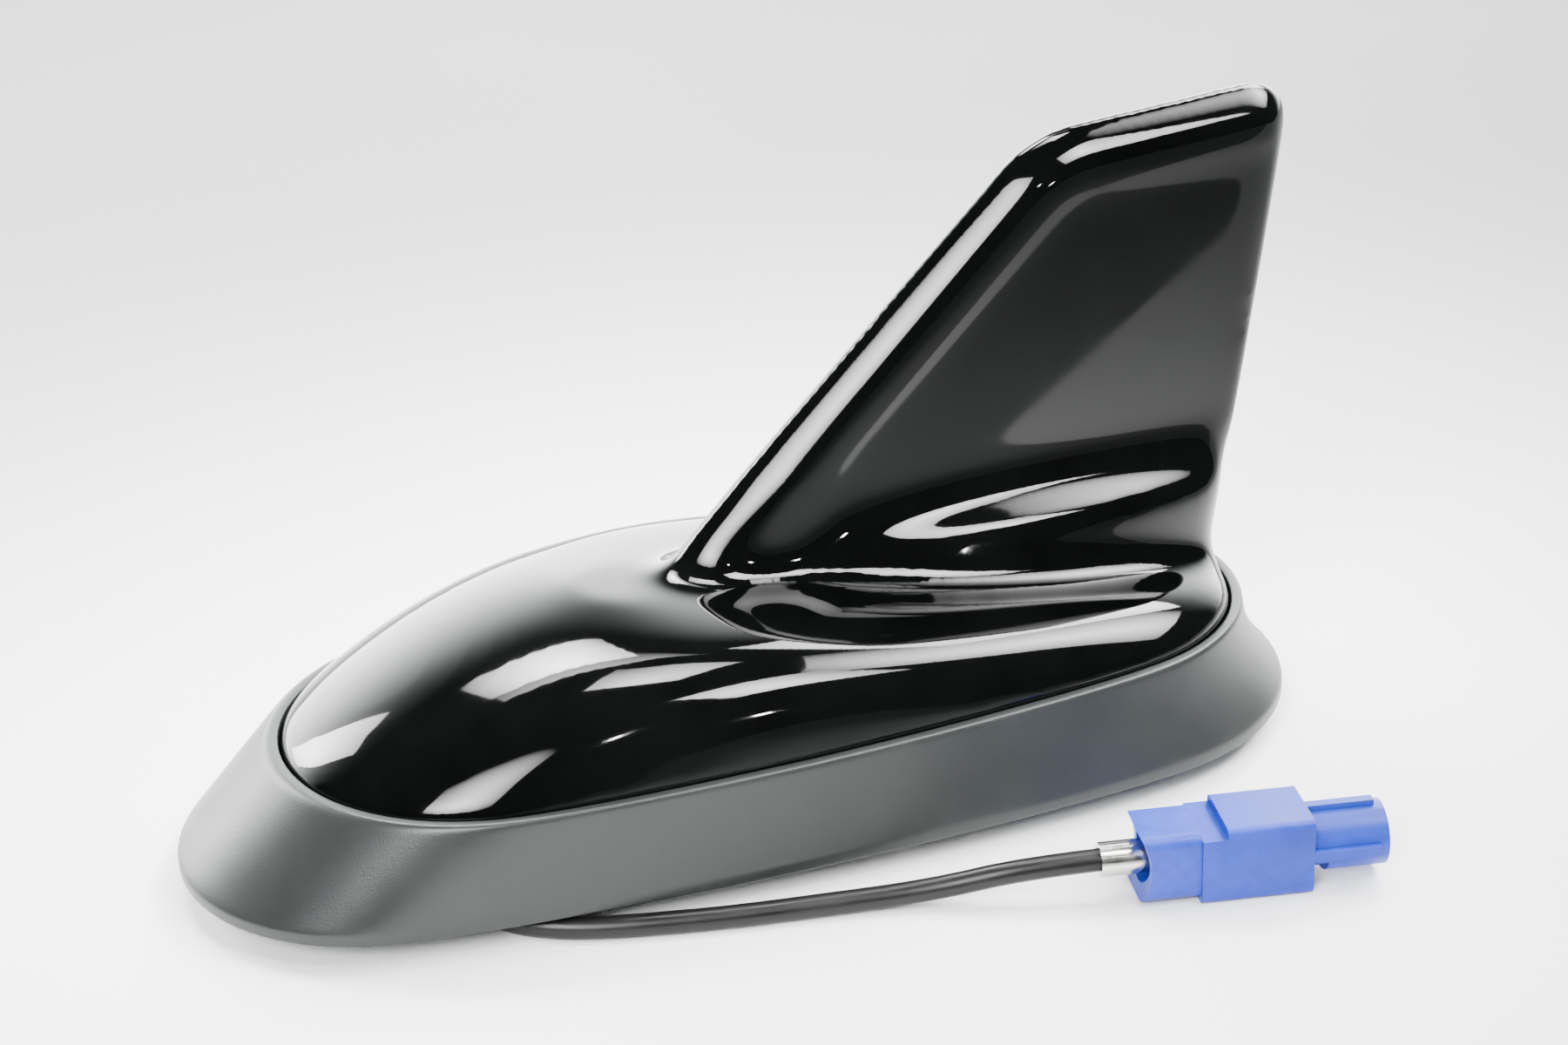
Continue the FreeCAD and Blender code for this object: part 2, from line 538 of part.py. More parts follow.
def make_screws():
    group("housing_screws", [
        screw(f"housing_screw_{i}", place, "base_recess + screw_head_height", "screw_radius",
              "screw_length", "screw_head_radius", "screw_head_height", True)
        for i, place in enumerate(SCREWS)])
    group("board_screws", [
        screw(f"board_screw_{i}", place, BOARD_TOP, "board_screw_radius", "board_screw_length",
              "board_screw_head_radius", "board_screw_head_height", False)
        for i, place in enumerate(BOARD_SCREWS)])


# Amplifier board with the receiving patch above it and the shielded stage below it

def make_board():
    middle = f"({BOARD_FRONT} + board_rear) / 2"
    feed_x = f"{PATCH_X} + feed_offset"
    feed_bore = "feed_radius + bore_gap"
    holes = [cylinder(f"board_hole_{i}", "board_screw_radius + bore_gap", "board_thickness", x, y,
                      BOARD_FOOT) for i, (x, y) in enumerate(BOARD_SCREWS)]
    holes.append(cylinder("board_feed_hole", feed_bore, "board_thickness", feed_x, "0", BOARD_FOOT))
    blank = box("board_blank", BOARD_LENGTH, BOARD_WIDTH, "board_thickness", middle, "0", BOARD_FOOT)
    cut("circuit_board", blank, joined("board_holes", holes))
    tape_side = f"{PATCH_SIDE} - 2 * tape_margin"
    blank = box("tape_blank", tape_side, tape_side, "tape_thickness", PATCH_X, "0", BOARD_TOP)
    cut("patch_tape", blank, cylinder("tape_hole", feed_bore, "tape_thickness", feed_x, "0", BOARD_TOP))
    blank = box("patch_blank", PATCH_SIDE, PATCH_SIDE, "patch_thickness", PATCH_X, "0", PATCH_FOOT)
    cut("ceramic_patch", blank,
        cylinder("patch_hole", feed_bore, "patch_thickness", feed_x, "0", PATCH_FOOT))
    pin_length = "patch_thickness + tape_thickness + board_thickness + chip_height"
    joined("feed_pin", [
        cylinder("feed_pin_stem", "feed_radius", pin_length, feed_x, "0", f"{BOARD_FOOT} - chip_height"),
        cylinder("feed_pin_head", "feed_head_radius", "feed_head_height", feed_x, "0",
                 f"{PATCH_FOOT} + patch_thickness")])
    can_foot = f"{BOARD_FOOT} - can_height"
    cut("shield_can", box("can_blank", CAN_LENGTH, "can_width", "can_height", PATCH_X, "0", can_foot),
        box("can_room", f"{CAN_LENGTH} - 2 * can_wall", "can_width - 2 * can_wall",
            "can_height - can_wall", PATCH_X, "0", f"{can_foot} + can_wall"))
    chip_foot = f"{BOARD_FOOT} - chip_height"
    box("amplifier_chip", "chip_side", "chip_side", "chip_height", f"{PATCH_X} - chip_side", "0", chip_foot)
    filter_x = f"{PATCH_X} - 1.5 * chip_side - chip_gap - filter_length / 2"
    box("band_filter", "filter_length", "filter_width", "chip_height", filter_x, "0", chip_foot)


# Coax lead: a tube on straight runs joined by tangent arcs

def tube(name, route, bend=None):
    """Sweep the lead's section along a route; with no bend given, arcs are as large as the runs allow."""
    edges, start, radii = [], route[0], []
    for before, corner, after in zip(route, route[1:], route[2:]):
        back, ahead = before - corner, after - corner
        half_turn = (math.pi - back.getAngle(ahead)) / 2
        radius = bend or ARC_SHARE * min(back.Length, ahead.Length) / math.tan(half_turn)
        radii.append(round(radius, 1))
        reach = radius * math.tan(half_turn)
        back.normalize()
        ahead.normalize()
        inward = (back + ahead).normalize()
        first, last = corner + back * reach, corner + ahead * reach
        middle = corner + inward * (radius / math.cos(half_turn) - radius)
        edges.append(Part.LineSegment(start, first).toShape())
        edges.append(Part.Arc(first, middle, last).toShape())
        start = last
    edges.append(Part.LineSegment(start, route[-1]).toShape())
    path = Part.Wire(edges)
    section = Part.Wire([Part.Circle(route[0], route[1] - route[0], value("lead_diameter / 2")).toShape()])
    solid = doc.addObject("Part::Feature", name)
    solid.Shape = path.makePipeShell([section], True, True)
    print(name, "length", round(path.Length, 1), "bend radii", radii)
    print(name, "volume against section times length",
          round(solid.Shape.Volume / (path.Length * math.pi * value("lead_diameter / 2") ** 2), 4))


def make_lead():
    inside_z = value(f"{BOARD_TOP} + lead_diameter / 2 + bore_gap / 2")
    floor_z = value(SPIGOT_END)
    outlet = Vector(value("-spigot_radius"), 0, floor_z + value("lead_diameter / 2"))
    duct_x = value("duct_x")
    tube("coax_tail", [Vector(value("solder_x"), 0, inside_z), Vector(duct_x, 0, inside_z),
                       Vector(duct_x, 0, outlet.z), outlet], bend=value("duct_bend"))
    frame = plug_frame()
    route = [outlet] + [Vector(x, y, floor_z + z) for x, y, z in LEAD_ROUTE]
    route.append(frame.multVec(Vector(value("ferrule_start") - LEAD_INTO_PLUG, 0, 0)))
    route.append(frame.multVec(Vector(value("ferrule_start + lead_grip"), 0, 0)))
    tube("coax_lead", route)

    bore = "lead_diameter / 2 + bore_gap"
    bush = joined("bush_blank", [
        cylinder("bush_neck", "duct_radius - bore_gap", f"{PLATE_TOP} - bush_foot", "duct_x", "0",
                 "bush_foot"),
        cylinder("bush_rim", "bush_flange_radius", "bush_flange", "duct_x", "0", PLATE_TOP)])
    bush_height = f"{PLATE_TOP} + bush_flange - bush_foot"
    cut("cable_grommet", bush, cylinder("bush_bore", bore, bush_height, "duct_x", "0", "bush_foot"))
    clamp = new_body("cable_clamp")
    arch = new_sketch(clamp, "clamp_profile", "YZ_Plane", "solder_x + clamp_length / 2")
    corner_box(arch, "-clamp_width / 2", "clamp_width / 2", BOARD_TOP,
               f"{BOARD_TOP} + lead_diameter + clamp_wall")
    pad(clamp, "clamp_block", arch, "clamp_length")
    channel = new_sketch(clamp, "clamp_channel", "YZ_Plane", "solder_x + clamp_length / 2")
    corner_box(channel, f"-({bore})", bore, BOARD_TOP, f"{BOARD_TOP} + lead_diameter + bore_gap")
    pocket(clamp, "clamp_opening", channel, "clamp_length", reverse=True)


# Keyed coax plug, modelled along its own X axis and laid where the lead ends

def plug_frame():
    place = Vector(value("plug_x"), value("plug_y"), value(f"{SPIGOT_END} + plug_height / 2"))
    return FreeCAD.Placement(place, FreeCAD.Rotation(Vector(0, 0, 1), value("plug_turn")))


def plug_piece(name):
    body = new_body(name)
    body.Placement = plug_frame()
    return bind(body, Placement__Base__x="plug_x", Placement__Base__y="plug_y",
                Placement__Base__z=f"{SPIGOT_END} + plug_height / 2")


def turned(name, start, length, *radii):
    """A pin or sleeve on the plug's axis."""
    body = plug_piece(name)
    sketch = new_sketch(body, f"{name}_circles", "YZ_Plane", start)
    circles(sketch, *radii)
    pad(body, f"{name}_run", sketch, length)


def lengthwise(half_width, half_height):
    """A test for edges that run along the plug at the corners of its section."""
    y, z = value(half_width) - CLOSE, value(half_height) - CLOSE
    return lambda p: abs(p.y) > y and abs(p.z) > z


def make_plug():
    block_end, contact_start = "(block_start + block_length)", "(block_start + block_wall)"
    contact_radius = "(nose_radius - plug_wall)"
    tip = f"({block_end} + nose_length)"

    lock = plug_piece("plug_lock")
    shape = new_sketch(lock, "sleeve_section", "YZ_Plane", 0)
    corner_box(shape, "-sleeve_side / 2", "sleeve_side / 2", "-sleeve_side / 2", "sleeve_side / 2")
    sleeve = pad(lock, "sleeve", shape, "block_start")
    corners = lengthwise("sleeve_side / 2", "sleeve_side / 2")
    round_edges(lock, "sleeve_corners", sleeve, corners, "sleeve_corner")
    bore = new_sketch(lock, "sleeve_bore_circle", "YZ_Plane", 0)
    circles(bore, "mouth_bore")
    pocket(lock, "sleeve_bore", bore, "block_start - plug_wall", reverse=True)
    throat = new_sketch(lock, "throat_circle", "YZ_Plane", 0)
    circles(throat, "ferrule_radius + bore_gap")
    pocket(lock, "throat", throat, "block_start", reverse=True)
    mouth = new_sketch(lock, "mouth_circle", "XZ_Plane", "0")
    dots(mouth, "mouth_radius", [("mouth_depth - mouth_radius", "0")])
    scoop = pocket(lock, "mouth", mouth, "sleeve_side")
    scoop.Midplane = True

    body = plug_piece("plug_body")
    section = new_sketch(body, "block_section", "YZ_Plane", "block_start")
    corner_box(section, "-plug_width / 2", "plug_width / 2", "-plug_height / 2", "plug_height / 2")
    block = pad(body, "block", section, "block_length")
    corners = lengthwise("plug_width / 2", "plug_height / 2")
    round_edges(body, "block_corners", block, corners, "plug_corner")
    step = new_sketch(body, "step_section", "YZ_Plane", "block_start")
    corner_box(step, "-plug_width / 2", "plug_width / 2", "plug_height / 2 - plug_step_height",
               "plug_height / 2")
    pocket(body, "top_step", step, "plug_step_length", reverse=True)
    nose = new_sketch(body, "nose_circle", "YZ_Plane", block_end)
    circles(nose, "nose_radius")
    pad(body, "nose", nose, "nose_length")
    keys = new_sketch(body, "key_sections", "YZ_Plane", block_end)
    root, crest = "nose_radius - plug_wall / 2", "nose_radius + key_height"
    corner_box(keys, "-key_width / 2", "key_width / 2", root, crest)
    corner_box(keys, root, crest, "-key_width / 2", "key_width / 2")
    corner_box(keys, f"-({crest})", f"-({root})", "-key_width / 2", "key_width / 2")
    pad(body, "keys", keys, "nose_length - plug_wall")
    chamber = new_sketch(body, "chamber_circle", "YZ_Plane", tip)
    circles(chamber, f"{contact_radius} + bore_gap")
    pocket(body, "chamber", chamber, f"{tip} - {contact_start}")
    entry = new_sketch(body, "entry_circle", "YZ_Plane", "block_start")
    circles(entry, "ferrule_radius + bore_gap")
    pocket(body, "entry", entry, "block_wall", reverse=True)
    window = new_sketch(body, "window_outline", "XZ_Plane", "plug_width / 2")
    corner_box(window, block_end, f"{block_end} + window_length", "-nose_radius",
               "-nose_radius + window_width")
    pocket(body, "window", window, "plug_width / 2")

    turned("crimp_ferrule", "ferrule_start", f"{contact_start} - ferrule_start", "ferrule_radius",
           "lead_diameter / 2 + bore_gap / 2")
    turned("outer_contact", contact_start, f"{tip} - contact_recess - {contact_start}", contact_radius,
           f"{contact_radius} - contact_wall")
    turned("plug_insulator", contact_start, "insulator_length",
           f"{contact_radius} - contact_wall - bore_gap", "pin_radius + bore_gap")
    turned("centre_pin", contact_start, "pin_length", "pin_radius")


make_skirt()
make_housing()
make_base()
make_screws()
make_board()
make_lead()
make_plug()
doc.recompute()

# Check every object, then write each piece to its own file
NODES = ["fin_housing", "skirt", "base_plate", "housing_gasket", "housing_screws", "roof_seal",
         "circuit_board", "board_screws", "ceramic_patch", "patch_tape", "feed_pin", "shield_can",
         "amplifier_chip", "band_filter", "coax_tail", "cable_clamp", "cable_grommet", "coax_lead",
         "crimp_ferrule", "plug_body", "plug_lock", "outer_contact", "plug_insulator", "centre_pin"]
for thing in doc.Objects:
    if "Invalid" in thing.State or "Error" in thing.State:
        raise RuntimeError(f"{thing.Name} failed: {thing.State}")
shapes = {node: doc.getObject(node).Shape for node in NODES}
for node, shape in shapes.items():
    if shape.isNull() or not shape.isValid() or not shape.Solids:
        raise RuntimeError(f"{node} has no valid solid")
os.makedirs("parts", exist_ok=True)
for node, shape in shapes.items():
    shape.exportStep(f"parts/{node}.step")
    print(node, len(shape.Solids), "solids", round(shape.Volume, 1), "mm3")
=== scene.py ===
"""Studio scene of the roof fin antenna: gloss fin housing, soft skirt, coax lead and keyed plug.

Lengths are in millimetres in the part's own frame: X to the car's tail, Y to its right, Z up from the roof.
"""

import json
import math

import bmesh
import bpy
from mathutils import Matrix, Vector
from mathutils.bvhtree import BVHTree


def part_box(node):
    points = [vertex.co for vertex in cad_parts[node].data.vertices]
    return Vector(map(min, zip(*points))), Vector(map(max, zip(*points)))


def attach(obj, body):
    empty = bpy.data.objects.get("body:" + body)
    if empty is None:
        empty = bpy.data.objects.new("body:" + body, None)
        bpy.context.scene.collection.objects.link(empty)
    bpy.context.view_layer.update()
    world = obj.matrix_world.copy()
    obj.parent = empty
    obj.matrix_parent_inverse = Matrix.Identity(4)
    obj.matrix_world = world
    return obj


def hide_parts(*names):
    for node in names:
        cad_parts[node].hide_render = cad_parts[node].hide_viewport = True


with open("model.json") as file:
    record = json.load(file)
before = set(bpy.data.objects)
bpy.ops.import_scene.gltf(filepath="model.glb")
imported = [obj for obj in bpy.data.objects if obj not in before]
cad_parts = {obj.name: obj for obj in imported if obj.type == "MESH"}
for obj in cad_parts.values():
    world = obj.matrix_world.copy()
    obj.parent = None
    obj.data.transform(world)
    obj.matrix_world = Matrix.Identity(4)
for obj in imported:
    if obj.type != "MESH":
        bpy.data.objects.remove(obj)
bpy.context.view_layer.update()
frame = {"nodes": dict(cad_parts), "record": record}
nodes = frame["nodes"]

# Units, and how near two places or two sides of a face count as one
MM = 0.001
MERGE, EVEN, TOUCH, SLIVER = 0.0001, 0.001, 0.01, 0.02

# Places taken from the part's own solids
SKIRT_LOW, SKIRT_HIGH = (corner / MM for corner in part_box("skirt"))
SKIRT_TOP = SKIRT_HIGH.z
FLOOR = (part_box("base_plate")[0] / MM).z
HULL_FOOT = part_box("housing_gasket")[1].z / MM

# Points on the end arcs and side arcs of a boat outline, and the grid that closes one
NOSE_STEPS, SIDE_STEPS, TAIL_STEPS = 5, 6, 5
GRID_SPAN = NOSE_STEPS + 3
LEAST_RADIUS = 0.2
ARC_SEARCH_STEPS, WIDEST_ARC = 100, 1e5
SUBDIVISIONS = 2


# Working in edit mode

def fresh():
    """Back to object mode with nothing selected."""
    if bpy.context.mode != "OBJECT":
        bpy.ops.object.mode_set(mode="OBJECT")
    bpy.ops.object.select_all(action="DESELECT")


def work_on(piece):
    """Make one piece the only selected and active one."""
    fresh()
    piece.select_set(True)
    bpy.context.view_layer.objects.active = piece


def edit(piece):
    work_on(piece)
    bpy.ops.object.mode_set(mode="EDIT")


def pick(piece, kind, test):
    """Select the edges or faces of which every corner passes a test, in millimetres."""
    bpy.ops.mesh.select_mode(type={"edges": "EDGE", "faces": "FACE"}[kind])
    bpy.ops.mesh.select_all(action="DESELECT")
    grid = bmesh.from_edit_mesh(piece.data)
    for part in getattr(grid, kind):
        part.select = all(test(corner.co / MM) for corner in part.verts)
    grid.select_flush_mode()
    bmesh.update_edit_mesh(piece.data)


def bevel(radius, segments, **settings):
    """Round the selected edges."""
    bpy.ops.mesh.bevel(offset=radius * MM, segments=segments, affect="EDGES", **settings)


def modify(piece, kind, **settings):
    """Add a modifier, set it and apply it."""
    work_on(piece)
    bpy.ops.object.modifier_add(type=kind)
    modifier = piece.modifiers[-1]
    for setting, value in settings.items():
        setattr(modifier, setting, value)
    bpy.ops.object.modifier_apply(modifier=modifier.name)


def delete(piece):
    work_on(piece)
    bpy.ops.object.delete()


def cut(piece, cutter):
    """Take one piece's volume out of another."""
    modify(piece, "BOOLEAN", operation="DIFFERENCE", solver="EXACT", object=cutter)


def subdivide(piece):
    modify(piece, "SUBSURF", levels=SUBDIVISIONS, render_levels=SUBDIVISIONS)


def outward(piece):
    """Merge double points and turn every face outwards."""
    edit(piece)
    bpy.ops.mesh.select_all(action="SELECT")
    bpy.ops.mesh.remove_doubles(threshold=MERGE * MM)
    bpy.ops.mesh.normals_make_consistent(inside=False)
    fresh()


def clear_slivers(piece):
    """Split the many-sided faces along a cut, close the hair-thin ones and delete any left hanging."""
    edit(piece)
    bpy.ops.mesh.select_mode(type="FACE")
    bpy.ops.mesh.select_all(action="DESELECT")
    bpy.ops.mesh.select_face_by_sides(number=4, type="GREATER")
    bpy.ops.mesh.quads_convert_to_tris(quad_method="BEAUTY", ngon_method="BEAUTY")
    bpy.ops.mesh.select_all(action="SELECT")
    bpy.ops.mesh.dissolve_degenerate(threshold=SLIVER * MM)
    bpy.ops.mesh.remove_doubles(threshold=SLIVER * MM)
    grid = bmesh.from_edit_mesh(piece.data)
    hanging = [face for face in grid.faces if any(side.is_boundary for side in face.edges)]
    bmesh.ops.delete(grid, geom=hanging, context="FACES")
    bmesh.update_edit_mesh(piece.data)
    fresh()


def smooth(piece, degrees):
    """Shade smoothly across edges that turn by less than an angle."""
    work_on(piece)
    bpy.ops.object.shade_smooth_by_angle(angle=math.radians(degrees))


# Boat outlines and the skins drawn up over them

def side_arc(nose_x, tail_x, half, nose_radius, tail_radius):
    """Radius and middle of the side arc that touches both end arcs at the given half width."""
    def reach(radius, end_radius):
        return math.sqrt(max((half - end_radius) * (2 * radius - end_radius - half), 0.0))

    low, high = half, WIDEST_ARC
    for _ in range(ARC_SEARCH_STEPS):
        radius = (low + high) / 2
        if reach(radius, nose_radius) + reach(radius, tail_radius) < tail_x - nose_x:
            low = radius
        else:
            high = radius
    return low, nose_x + reach(low, nose_radius)


def boat(nose, tail, half, nose_radius, tail_radius, height, fall=0.0):
    """Points round a boat outline, from its nose along one side to its tail and back."""
    nose_x, tail_x = nose + nose_radius, tail - tail_radius
    radius, middle = side_arc(nose_x, tail_x, half, nose_radius, tail_radius)
    rise = radius - half
    to_nose, to_tail = math.atan2(rise, nose_x - middle), math.atan2(rise, tail_x - middle)
    arcs = [(nose_x, 0.0, nose_radius, math.pi, to_nose, NOSE_STEPS),
            (middle, -rise, radius, to_nose, to_tail, SIDE_STEPS),
            (tail_x, 0.0, tail_radius, to_tail, 0.0, TAIL_STEPS)]
    side = []
    for x, y, r, start, end, steps in arcs:
        for i in range(steps):
            turn = start + (end - start) * i / steps
            side.append((x + r * math.cos(turn), y + r * math.sin(turn)))
    side.append((tail, 0.0))
    ring = side + [(x, -y) for x, y in reversed(side[1:-1])]
    return [Vector((x, y, height - fall * x)) for x, y in ring]


def outline_of(nose, tail, half, nose_share, tail_share):
    """A boat outline whose end radii are given as shares of its half width."""
    return dict(nose=nose, tail=tail, half=half, nose_radius=nose_share * half, tail_radius=tail_share * half)


def inset(outline, step):
    """The same outline drawn in by a step on all sides."""
    return dict(nose=outline["nose"] + step, tail=outline["tail"] - step, half=outline["half"] - step,
                nose_radius=max(outline["nose_radius"] - step, LEAST_RADIUS),
                tail_radius=max(outline["tail_radius"] - step, LEAST_RADIUS))


def skin(name, rings):
    """Start from a circle, and extrude it from one ring of points to the next."""
    fresh()
    bpy.ops.mesh.primitive_circle_add(vertices=len(rings[0]))
    piece = bpy.context.object
    piece.name = name
    for vertex, point in zip(piece.data.vertices, rings[0]):
        vertex.co = point * MM
    edit(piece)
    bpy.ops.mesh.select_all(action="SELECT")
    for before, after in zip(rings, rings[1:]):
        bpy.ops.mesh.extrude_edges_move()
        grid = bmesh.from_edit_mesh(piece.data)
        for vertex in [v for v in grid.verts if v.select]:
            place = vertex.co / MM
            index = min(range(len(before)), key=lambda i: (before[i] - place).length)
            vertex.co = after[index] * MM
        bmesh.update_edit_mesh(piece.data)
    return piece


def close_ends(piece, foot):
    """Fill the last ring with a grid and the lowest one with a face, and subdivide."""
    bpy.ops.mesh.fill_grid(span=GRID_SPAN)
    pick(piece, "edges", lambda p: p.z < foot + TOUCH)
    bpy.ops.mesh.edge_face_add()
    fresh()
    subdivide(piece)
    outward(piece)


# Outlines of the skirt and of the housing's hull and spine

LIP_NOSE_STEP, LIP_TAIL_STEP, LIP_SIDE_STEP = 12.4, 5.9, 2.1
LIP_WALL, HULL_GAP = 1.6, 0.25 / 3
WAIST_TAIL_HOLLOW, WAIST_SIDE_HOLLOW = 1.6, 0.4
SPINE_FRONT, SPINE_REAR, SPINE_HALF, SPINE_TOP = -3.0, 68.9, 10.4, 31.0

LIP = outline_of(SKIRT_LOW.x + LIP_NOSE_STEP, SKIRT_HIGH.x - LIP_TAIL_STEP, SKIRT_HIGH.y - LIP_SIDE_STEP,
                 nose_share=0.94, tail_share=0.92)
SKIRT = outline_of(SKIRT_LOW.x, SKIRT_HIGH.x, SKIRT_HIGH.y, nose_share=0.83, tail_share=0.97)
WAIST = {key: (SKIRT[key] + LIP[key]) / 2 for key in SKIRT}
WAIST["tail"] -= WAIST_TAIL_HOLLOW
WAIST["half"] -= WAIST_SIDE_HOLLOW
HULL = inset(LIP, LIP_WALL + HULL_GAP)
SPINE = outline_of(SPINE_FRONT, SPINE_REAR, SPINE_HALF, nose_share=0.3, tail_share=0.83)


# Hull of the gloss housing

WALL = 2.0
CREST_X, CREST_HEIGHT = -20.0, 28.2
DECK_X, DECK_HEIGHT = 55.0, 23.2
CROWN_X = -17.8
HULL_FOOT_EDGE = 0.3
HULL_STEPS_AT_LIP = (-1.2, -0.4, 0.1)
DOME_SHARES = (0.1, 0.2, 0.3, 0.42, 0.53, 0.63, 0.72, 0.8, 0.87, 0.93, 0.97)

# Powers by which the dome draws in as it rises, and its end radii as shares of its half width
NOSE_RISE, NOSE_ROUNDNESS = 1.14, 1.55
TAIL_RISE = 3.5
SIDE_RISE, SIDE_ROUNDNESS = 3.5, 2.68
FLANK_LEAN, GREATEST_HALF = 0.1, 0.44
DOME_NOSE_SHARE, DOME_TAIL_SHARE, DOME_TAIL_LOSS = 0.93, 0.95, 0.3


def dome_ring(share, wall):
    """One outline of the hull's dome, which shrinks and tilts as it rises."""
    foot = inset(HULL, wall)
    nose_reach = (1 - share ** NOSE_RISE) ** (1 / NOSE_ROUNDNESS)
    tail_reach = 1 - share ** TAIL_RISE
    side_reach = (1 - share ** SIDE_RISE) ** (1 / SIDE_ROUNDNESS)
    nose = CROWN_X - (CROWN_X - foot["nose"]) * nose_reach
    tail = CROWN_X + (foot["tail"] - CROWN_X) * tail_reach
    half = foot["half"] * side_reach * (1 - FLANK_LEAN * share * (1 - share))
    half = min(half, GREATEST_HALF * (tail - nose))
    fall = (CREST_HEIGHT - DECK_HEIGHT) / (DECK_X - CREST_X)
    height = SKIRT_TOP + (CREST_HEIGHT + CREST_X * fall - wall - SKIRT_TOP) * share
    tail_radius = half * (DOME_TAIL_SHARE - DOME_TAIL_LOSS * share)
    return boat(nose, tail, half, DOME_NOSE_SHARE * half, tail_radius, height, fall * share)


def make_hull(name, foot, wall=0.0):
    """The hull, or with a wall the room inside it."""
    sides = inset(HULL, wall)
    heights = [foot, foot + HULL_FOOT_EDGE] + [SKIRT_TOP + step for step in HULL_STEPS_AT_LIP]
    rings = [boat(**sides, height=height) for height in heights]
    hull = skin(name, rings + [dome_ring(share, wall) for share in DOME_SHARES])
    close_ends(hull, foot)
    return hull


# Spine of the gloss housing

SPINE_FOOT_EDGE = 0.5
SPINE_HEIGHTS = (16.0, 20.0, 22.0, 24.0)
SPINE_STEPS_AT_SHOULDER = (-2.0, -0.6)
SPINE_SWEEP, SPINE_SWEEP_DROP, GREATEST_SWEEP = 1.0, 6.0, 1.2
SHELF_RUN, SHELF_DROP = 5.0, 3.2
SHELF_PROFILE = ((0.02, 0.1), (0.12, 0.24), (0.5, 0.6), (0.9, 0.95), (1.0, 1.0))

# Slopes of the fin's edges
LEAD_SLOPE, TOP_SLOPE, TRAIL_LEAN = (math.tan(math.radians(a)) for a in (42.9, 4.3, 11.5))


def make_spine(name, foot, wall=0.0):
    """The spine with its sloped shelf, or with a wall the room inside it."""
    shoulder = SPINE_TOP - wall - SHELF_DROP
    heights = [foot, foot + SPINE_FOOT_EDGE, *SPINE_HEIGHTS]
    heights += [shoulder + step for step in SPINE_STEPS_AT_SHOULDER]
    rings = []
    for height in heights:
        share = min((shoulder - height) / SPINE_SWEEP_DROP, GREATEST_SWEEP)
        section = inset(SPINE, wall)
        section["half"] += SPINE_SWEEP * share * share
        section["tail"] -= (shoulder - height) * TRAIL_LEAN
        rings.append(boat(**section, height=height))
    for run, rise in SHELF_PROFILE:
        rings.append(boat(**inset(SPINE, wall + SHELF_RUN * run), height=shoulder + SHELF_DROP * rise))
    spine = skin(name, rings)
    close_ends(spine, foot)
    return spine


# Fin of the gloss housing

FIN_THICKNESS, FIN_HEIGHT = 9.0, 79.3
FIN_HALF = FIN_THICKNESS / 2
LEAD_FOOT = (-15.2, 24.0)
TRAIL_FOOT = (66.1, 16.0)
FIN_TIP = (TRAIL_FOOT[0] + (FIN_HEIGHT - TRAIL_FOOT[1]) * TRAIL_LEAN, FIN_HEIGHT)
LEAD_ANGLE, TOP_ANGLE = math.atan(LEAD_SLOPE), math.atan(TOP_SLOPE)
BROW_TURN = LEAD_ANGLE - TOP_ANGLE
TIP_TURN = math.pi / 2 + TOP_ANGLE + math.atan(TRAIL_LEAN)
BROW_RADIUS, TIP_RADIUS, CORNER_SEGMENTS = 16.0, 5.6, 10
RIM_WIDTH, RIM_RADIUS, RIM_FULLNESS, RIM_SEGMENTS = 7.2, 4.1, 0.3, 8
RIM_TOP_BAND = 18.0
TRAIL_RADIUS, TRAIL_SEGMENTS = 1.3, 4
PANEL_DEPTH, PANEL_CORNER, PANEL_BROW, PANEL_SEGMENTS = 0.4, 6.0, 9.0, 8
PANEL_FLOOR_RADIUS, PANEL_FLOOR_SEGMENTS = 0.35, 3
CUTTER_REACH = 2.0

# Points of a new plane, in the order that goes round its border
ROUND_PLANE = (0, 2, 3, 1)


def side_view(foot, tip, tail):
    """Foot, brow, tip and tail of a side view whose leading and top edges have the fin's slopes."""
    run = (tip[1] - foot[1] - (tip[0] - foot[0]) * TOP_SLOPE) / (LEAD_SLOPE - TOP_SLOPE)
    return [foot, (foot[0] + run, foot[1] + run * LEAD_SLOPE), tip, tail]


def slab(name, corners, low, high):
    """A plate with a four-cornered side view, between two Y values."""
    fresh()
    bpy.ops.mesh.primitive_plane_add(size=1)
    piece = bpy.context.object
    piece.name = name
    for index, (x, z) in zip(ROUND_PLANE, corners):
        piece.data.vertices[index].co = Vector((x, low, z)) * MM
    edit(piece)
    bpy.ops.mesh.select_all(action="SELECT")
    bpy.ops.mesh.extrude_region_move(TRANSFORM_OT_translate={"value": (0, (high - low) * MM, 0)})
    bpy.ops.mesh.select_all(action="SELECT")
    bpy.ops.mesh.normals_make_consistent(inside=False)
    return piece


def round_corner(piece, corner, radius, turn, segments):
    """Round the edges across the plate at one corner of its side view."""
    pick(piece, "edges", lambda p: abs(p.x - corner[0]) < TOUCH and abs(p.z - corner[1]) < TOUCH)
    bevel(radius * math.tan(turn / 2), segments)


